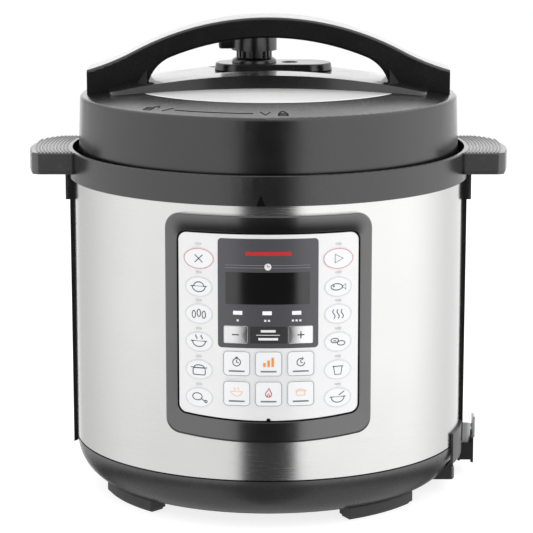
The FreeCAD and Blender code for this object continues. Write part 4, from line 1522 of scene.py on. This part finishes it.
    def window_line(self) -> None:
        """Painted shadow along the gap between the frame and the overlay, with a small black notch at its
        foot.
        """
        face = RoundWall(self.face_radius)
        low, high = self.window_z
        half = self.window_half - 0.5 * MM
        ring = self.outline(half, low + 0.5 * MM, high - 0.3 * MM, 6 * MM, self.window_bow)
        # A matte black bead just inside the frame: painted shadow where the frame meets the overlay.
        joint = Print("window_shadow_line", face, 1.5 * MM, 0.35 * MM)
        joint.draw([[*ring, ring[0]]], size=1.0)
        foot = low - self.window_bow + 0.3 * MM
        joint.fill((-1.3 * MM, 1.3 * MM, foot, foot + 1.7 * MM), (-0.8 * MM, 0.8 * MM, foot, foot + 2.3 * MM))
        joint.build("base", MARK_AND_SHADOW_BLACK)

    def key_outline(self, node: str, gap: float) -> list[Point]:
        """Outline of a key, or of its hole.

        Args:
            node: The key's CAD node.
            gap: How far the outline stands off the key.

        Returns:
            Points in x and height.
        """
        low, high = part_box(node)
        x, z = (low.x + high.x) / 2, (low.z + high.z) / 2
        half_x, half_z = (high.x - low.x) / 2 + gap, (high.z - low.z) / 2 + gap
        place = self.place_of(node[4:], high - low)
        if place in (Place.OVAL, Place.RED_OVAL):
            return arc(x, z, half_x, half_z, 0.0, 360.0, 56)[:-1]
        if place is Place.SQUARE:
            half_x, half_z = half_x + self.square_growth, half_z + self.square_growth
            return box_stroke(x - half_x, x + half_x, z - half_z, z + half_z, 2.4 * MM)[:-1]
        return box_stroke(x - half_x, x + half_x, z - half_z, z + half_z, 0.5 * MM)[:-1]

    def key(self, node: str) -> None:
        """Build one key's cap and print its face.

        Args:
            node: The key's CAD node, whose body has the same name.
        """
        name = node[4:]
        low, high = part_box(node)
        x, z = (low.x + high.x) / 2, (low.z + high.z) / 2
        place = self.place_of(name, high - low)
        front, back = self.face_radius + self.key_lift, self.face_radius - self.key_root
        cap = round_plate(name + "_cap", self.key_outline(node, 0.0), [], front, back, 0.3 * MM)
        finish_piece(cap, node, STEP_FILM if place is Place.STEP else KEY_FILM, [node])
        face = RoundWall(front)
        stroke = self.step_line if place is Place.STEP else self.icon_line
        icon = Print(name + "_icon", face, stroke, 0.17 * MM)
        size = self.oval_icon if place in (Place.OVAL, Place.RED_OVAL) else MM
        raised = z + self.icon_rise if place is Place.SQUARE else z
        if name == "adjust":
            icon.fill(*(moved(bar, x, raised) for bar in self.adjust_bars))
        icon.draw(PICTOGRAMS[name], x, raised, size)
        icon.build(node, KEY_INKS.get(name, INK_DARK))
        self.key_rim(name, node, place, face)
        if place is Place.SQUARE:
            caption = Print(name + "_caption", face, raise_by=0.08 * MM)
            caption.fill(moved(self.caption, x, z)).build(node, INK_GREY)

    def place_of(self, name: str, size: Vector) -> Place:
        """The kind of key, from its name and size.

        Args:
            name: Name of the key.
            size: Size of its CAD node.

        Returns:
            Where it sits.
        """
        if name in ("minus", "plus"):
            return Place.STEP
        if name in ("cancel", "start"):
            return Place.RED_OVAL
        return Place.SQUARE if size.x < self.square_width else Place.OVAL

    def key_rim(self, name: str, node: str, place: Place, face: RoundWall) -> None:
        """Printed line just inside the key's edge.

        Args:
            name: Name of the key.
            node: Its CAD node.
            place: Where it sits.
            face: The surface of its face.
        """
        if place is Place.STEP:
            return
        inks = {Place.RED_OVAL: INK_RED, Place.OVAL: INK_FAINT, Place.SQUARE: INK_GREY}
        outline = self.key_outline(node, -0.55 * MM)
        rim = Print(name + "_rim", face, 0.5 * MM, 0.1 * MM)
        rim.draw([[*outline, outline[0]]], size=1.0).build(node, inks[place])

    def display(self) -> None:
        """Dark field, unlit digits, lines, clock sign, lamps and their level marks."""
        lens = RoundWall(self.face_radius + 0.1 * MM)
        Print("display_field", lens).fill(self.display_field).build("base", DISPLAY_BLACK)
        self.digits(RoundWall(self.face_radius + 0.14 * MM))
        Print("display_lines", lens).fill(*self.display_lines).build("base", INK_GREY)
        Print("plain_badge", lens).fill(self.badge).build("base", BADGE_RED)
        sign = Print("clock_sign", lens, 0.6 * MM, 0.2 * MM)
        sign.draw([arc(0, 0, 0.35 + 0.42 * i, 0.35 + 0.42 * i) for i in range(5)], *self.clock_place)
        sign.build("base", INK_PALE)
        hands = Print("clock_hands", lens, 0.55 * MM, 0.35 * MM)
        hands.draw([line((-0.5, 1.3), (0, 0), (1.2, 0.35))], *self.clock_place).build("base", INK_DARK)
        self.lamps(lens)
        self.time_sign(lens)

    def lamps(self, lens: RoundWall) -> None:
        """Three level lamps with one, two and three small squares under them.

        Args:
            lens: The display's face.
        """
        lamps = Print("level_lamps", lens, raise_by=0.16 * MM)
        marks = Print("level_marks", lens, raise_by=0.06 * MM)
        for index, x in enumerate(self.lamp_places):
            lamps.fill(moved(self.lamp, x, self.lamp_z))
            for dot in range(index + 1):
                middle = x + (dot - index / 2) * self.mark_pitch
                marks.fill(moved(self.level_mark, middle, self.lamp_z))
        lamps.build("base", LAMP_WHITE)
        marks.build("base", INK_PALE)

    def time_sign(self, lens: RoundWall) -> None:
        """Field between the step keys, two short bars with a line between them.

        Args:
            lens: The display's face.
        """
        Print("time_field", lens, raise_by=0.08 * MM).fill(self.time_field).build("base", FIELD_GREY)
        Print("time_bars", lens, raise_by=0.12 * MM).fill(*self.time_bars).build("base", INK_PALE)

    def digits(self, lens: RoundWall) -> None:
        """Four unlit seven-segment digits with a colon.

        Args:
            lens: The face that they lie on.
        """
        tall, wide = self.digit_size
        lean, joint = self.digit_lean, self.digit_joint
        segments = []
        for middle in self.digit_places:
            left, right = middle - wide / 2, middle + wide / 2
            for level in (-tall, 0.0, tall):
                segments.append([(left + joint + level * lean, level), (right - joint + level * lean, level)])
            for x in (left, right):
                for level in (-tall, 0.0):
                    low, high = level + joint, level + tall - joint
                    segments.append([(x + low * lean, low), (x + high * lean, high)])
        digits = Print("unlit_digits", lens, 1.1 * MM, 0.08 * MM).draw(segments, 0.0, self.digit_z, 1.0)
        digits.draw([line((-0.8, 2.2), (-0.7, 2.9)), line((-1.2, -2.9), (-1.1, -2.2))], 0.0, self.digit_z)
        digits.build("base", SEGMENT_GREY)

    def indicators(self) -> None:
        """Small lamp windows over the oval keys, one row of blocks for each column."""
        lowest, step = self.indicator_z
        for side, name in ((-1, "left_indicators"), (1, "right_indicators")):
            x = side * self.indicator_x
            depth = math.sqrt(self.face_radius ** 2 - x * x)
            start = Vector((x, -depth + 0.3 * MM, lowest))
            way = Vector((0.0, 0.0, step))
            blocks = row_of_blocks(name, INK_FAINT, start, way, 6, Vector(self.indicator_size))
            finish_piece(blocks, "base", INK_FAINT)


@dataclass
class Lid:
    """Steel crown, plastic cover, arched handle, steam valve, float valve and seal.

    Attributes:
        crown_radius: Radius of the crown.
        crown_top: Height of the crown's middle.
        mark_radius: Where the lock marks lie on the cover.
        mark_places: Arc lengths of the open padlock, the tick, the arrowhead and the closed padlock.
        mark_line: Start of the long line between them and the length and number of its runs.
        dressed: Node, finish, body and broken edge of each part.
    """

    crown_radius: float = 624.0 * MM
    crown_top: float = 290.0 * MM
    mark_radius: float = 120.0 * MM
    mark_places: tuple[float, ...] = mm(-84.0, -69.5, -2.0, 9.4)
    mark_line: tuple[float, float, int] = (-64.0 * MM, 2.7 * MM, 20)
    dressed: tuple[Dressed, ...] = (
        ("lid_steel", LID_STEEL, "lid", 0.2 * MM),
        ("lid_cover", LID_BLACK, "lid", 0.2 * MM),
        ("lid_handle", GLOSS_BLACK, "lid", 0.9 * MM),
        ("lid_screws", PLATED_METAL, "lid", 0.2 * MM),
        ("valve_platform", SATIN_BLACK, "lid", 1.4 * MM),
        ("valve_collar", SATIN_BLACK, "lid", 0.3 * MM),
        ("steam_valve_knob", SATIN_BLACK, "steam_knob", 0.3 * MM),
        ("exhaust_pipe", PLATED_METAL, "lid", 0.2 * MM),
        ("anti_block_shield", LID_STEEL, "lid", 0.2 * MM),
        ("float_valve_pin", PLATED_METAL, "float_valve", 0.2 * MM),
        ("float_valve_seal", RED_SILICONE, "float_valve", 0.3 * MM),
        ("sealing_ring", SILICONE, "seal", 0.4 * MM),
        ("ring_rack", PLATED_METAL, "lid", 0.0),
    )

    def build(self) -> None:
        """Dress the lid's CAD nodes and engrave the lock marks."""
        refine_all(self.dressed)
        self.lock_marks()

    def lock_marks(self) -> None:
        """Open padlock, tick, long line, arrowhead and closed padlock, from left to right."""
        crown = LidCrown(self.crown_radius, self.crown_top, self.mark_radius)
        marks = Print("lock_marks", crown, 1.4 * MM, 0.25 * MM)
        lock = (box_stroke(-2.8, 2.8, -4.2, 0.6, 0.5), line((-2.4, -1.8), (2.4, -1.8)))
        shut = arc(0, 0.8, 1.9, 3.6, 0, 180)
        ajar = arc(3.6, 0.8, 1.9, 3.6, 0, 180)
        open_at, tick_at, arrow_at, shut_at = self.mark_places
        first, run, count = self.mark_line
        marks.draw([*lock, ajar], open_at)
        marks.draw([line((-2.4, -3.4), (2.4, 3.4))], tick_at)
        marks.draw([[(first + run * i, 0.0) for i in range(count + 1)]], size=1.0)
        marks.draw([line((-3.2, 2.8), (0, -2.8), (3.2, 2.8))], arrow_at)
        marks.draw([*lock, shut], shut_at)
        marks.build("lid", MARK_AND_SHADOW_BLACK)


@dataclass
class Vessel:
    """Pots, heater and the electric parts inside.

    Attributes:
        dressed: Node, finish, body and broken edge of what a lifted lid or pot shows.
        plain: Node and finish of what stays hidden.
        sensor_travel: How far the pot presses the sensor and its spring down; not used.
    """

    dressed: tuple[Dressed, ...] = (
        ("outer_pot", VESSEL_STEEL, "base", 0.2 * MM),
        ("inner_pot", POT_STEEL, "pot", 0.3 * MM),
        ("heating_plate", CAST_METAL, "base", 0.3 * MM),
        ("temperature_sensor", CAST_METAL, "sensor", 0.2 * MM),
    )
    plain: tuple[tuple[str, Finish], ...] = (
        ("disc_spring", SPRING_METAL), ("pressure_switch", MODULE_BLACK),
        ("thermal_fuse", PLATED_METAL), ("power_board", BOARD), ("control_board", BOARD),
        ("display_module", MODULE_BLACK), ("board_housing", SATIN_BLACK), ("wiring_harness", WIRE_SLEEVE),
        ("drain_tube", HOSE),
    )
    sensor_travel: float = 2.0 * MM

    def build(self) -> None:
        """Dress the pieces that a lifted lid or pot shows, and those that stay hidden."""
        refine_all(self.dressed)
        spring = refine("sensor_spring", SPRING_METAL, "base")
        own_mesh(spring)
        for node, finish in self.plain:
            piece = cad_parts[node]
            piece.data.materials.clear()
            piece.data.materials.append(finish.material())


# ---- studio --------------------------------------------------------------------------------------
@dataclass
class Studio:
    """Floor, light and camera.

    Attributes:
        camera_place: Where the camera stands.
        pitch: How far it looks down, in degrees.
        lens: Focal length on a 36 mm sensor.
        floor_radius: Radius of the round floor.
        gain: Brightness of the soft boxes from the left one to the right one.
        left_rear: The left box where it goes round to the back.
        right_rear: The right box there.
        gap: The dark gap between the boxes behind the camera.
        low_gap: The same gap in the light from below.
        rear: The bright wall behind the cooker.
        under: The boxes' lower edge.
        ceiling: The ceiling's edge.
        ceiling_turn: The ceiling from the front to the back.
        zenith: The ceiling towards its middle.
        glow: The floor's own light.

    Each step of the light has its start, its end, the value before it and the value after it. Its
    start and end are an azimuth in radians from the front, or the upward part of a direction.
    """

    camera_place: tuple[float, float, float] = (-0.0013, -1.7186, 0.4977)
    pitch: float = 11.32
    lens: float = 168.5
    floor_radius: float = 1.6
    gain: Step = (-0.3, 0.3, 1.4, 1.75)
    left_rear: Step = (-2.7, -1.4, 0.55, 1.0)
    right_rear: Step = (1.5, 2.4, 1.0, 0.62)
    gap: Step = (0.24, 0.325, 0.035, 1.0)
    low_gap: Step = (0.24, 0.7, 0.05, 1.0)
    rear: Step = (2.5, 2.95, 0.0, 1.7)
    under: Step = (-0.52, -0.26, 0.04, 1.0)
    ceiling: Step = (0.3, 0.6, 0.0, 1.0)
    ceiling_turn: Step = (0.6, 1.8, 0.9, 1.4)
    zenith: Step = (0.7, 0.95, 1.0, 0.66)
    glow: Step = (-0.74, -0.46, 0.5, 0.0)

    def build(self) -> None:
        """Set up the studio."""
        self.camera()
        self.floor()
        self.surroundings()
        view = bpy.context.scene.view_settings
        view.view_transform = "Standard"

    def camera(self) -> None:
        """The camera, looking along +Y and slightly down."""
        data = bpy.data.cameras.new("camera")
        data.sensor_width = 36.0
        data.lens = self.lens
        camera = bpy.data.objects.new("camera", data)
        camera.location = self.camera_place
        camera.rotation_euler = (math.radians(90.0 - self.pitch), 0.0, 0.0)
        bpy.context.scene.collection.objects.link(camera)
        bpy.context.scene.camera = camera

    def floor(self) -> None:
        """Plain pale floor that polished parts don't mirror."""
        solid = bmesh.new()
        bmesh.ops.create_circle(solid, cap_ends=True, segments=96, radius=self.floor_radius)
        mesh = mesh_of("floor", solid)
        floor = link_mesh("floor", mesh)
        floor.visible_glossy = False
        tree = ShaderTree("pale_floor")
        cloud = tree.noise(3.0, 2.0)
        tree.feed("Base Color", tree.blend(cloud, (0.36, 0.36, 0.36), (0.4, 0.4, 0.4)))
        tree.set(Roughness=0.9, Specular_IOR_Level=0.1, Emission_Color=(1.0, 1.0, 1.0), Emission_Strength=0.8)
        mesh.materials.append(tree.material)

    def surroundings(self) -> None:
        """White room with a soft box on each side and a gap between them behind the camera."""
        world = bpy.data.worlds.new("studio_room")
        bpy.context.scene.world = world
        world.use_nodes = True
        world.node_tree.nodes.clear()
        tree = NodeMaker(world.node_tree)
        direction = tree.node("ShaderNodeTexCoord").outputs["Generated"]
        across, forward, up = tree.node("ShaderNodeSeparateXYZ", {0: direction}).outputs
        azimuth = tree.math("ARCTAN2", across, tree.math("MULTIPLY", forward, -1.0))
        turn = tree.math("ABSOLUTE", azimuth)

        def product(*factors: tuple[Socket, Step]) -> Socket:
            """The product of smooth steps, each of a direction's part.

            Args:
                factors: A part of the direction and the step that it goes through.

            Returns:
                The product of all steps.
            """
            result = None
            for value, step in factors:
                limits = dict(enumerate((value, *step)))
                made = tree.node("ShaderNodeMapRange", limits, interpolation_type="SMOOTHSTEP").outputs[0]
                result = made if result is None else tree.math("MULTIPLY", result, made)
            return result

        boxes = product((turn, self.gap), (azimuth, self.gain), (azimuth, self.left_rear),
                        (azimuth, self.right_rear))
        boxes = tree.math("MAXIMUM", boxes, product((turn, self.rear)))
        boxes = tree.math("MULTIPLY", boxes, product((up, self.under)))
        lifted = product((turn, self.ceiling_turn), (up, self.ceiling), (up, self.zenith))
        glow = product((up, self.glow), (turn, self.low_gap))
        light = tree.math("MAXIMUM", tree.math("MAXIMUM", boxes, lifted), glow)
        white = (1.0, 1.0, 1.0, 1.0)
        room = tree.node("ShaderNodeBackground", {0: white, 1: light})
        backdrop = tree.node("ShaderNodeBackground", {0: white, 1: 1.0})
        seen = tree.node("ShaderNodeLightPath").outputs["Is Camera Ray"]
        shown = tree.node("ShaderNodeMixShader", {0: seen, 1: room.outputs[0], 2: backdrop.outputs[0]})
        tree.node("ShaderNodeOutputWorld", {0: shown.outputs[0]})


def main() -> None:
    """Build the studio and every sub-assembly, and report each piece."""
    logging.basicConfig(level=logging.INFO, format="%(message)s")
    makers: tuple[Callable[[], None], ...] = (
        Studio().build, Stand().build, Housing().build, ControlPanel().build, Lid().build, Vessel().build)
    for make in makers:
        make()


if __name__ == "__main__":
    main()
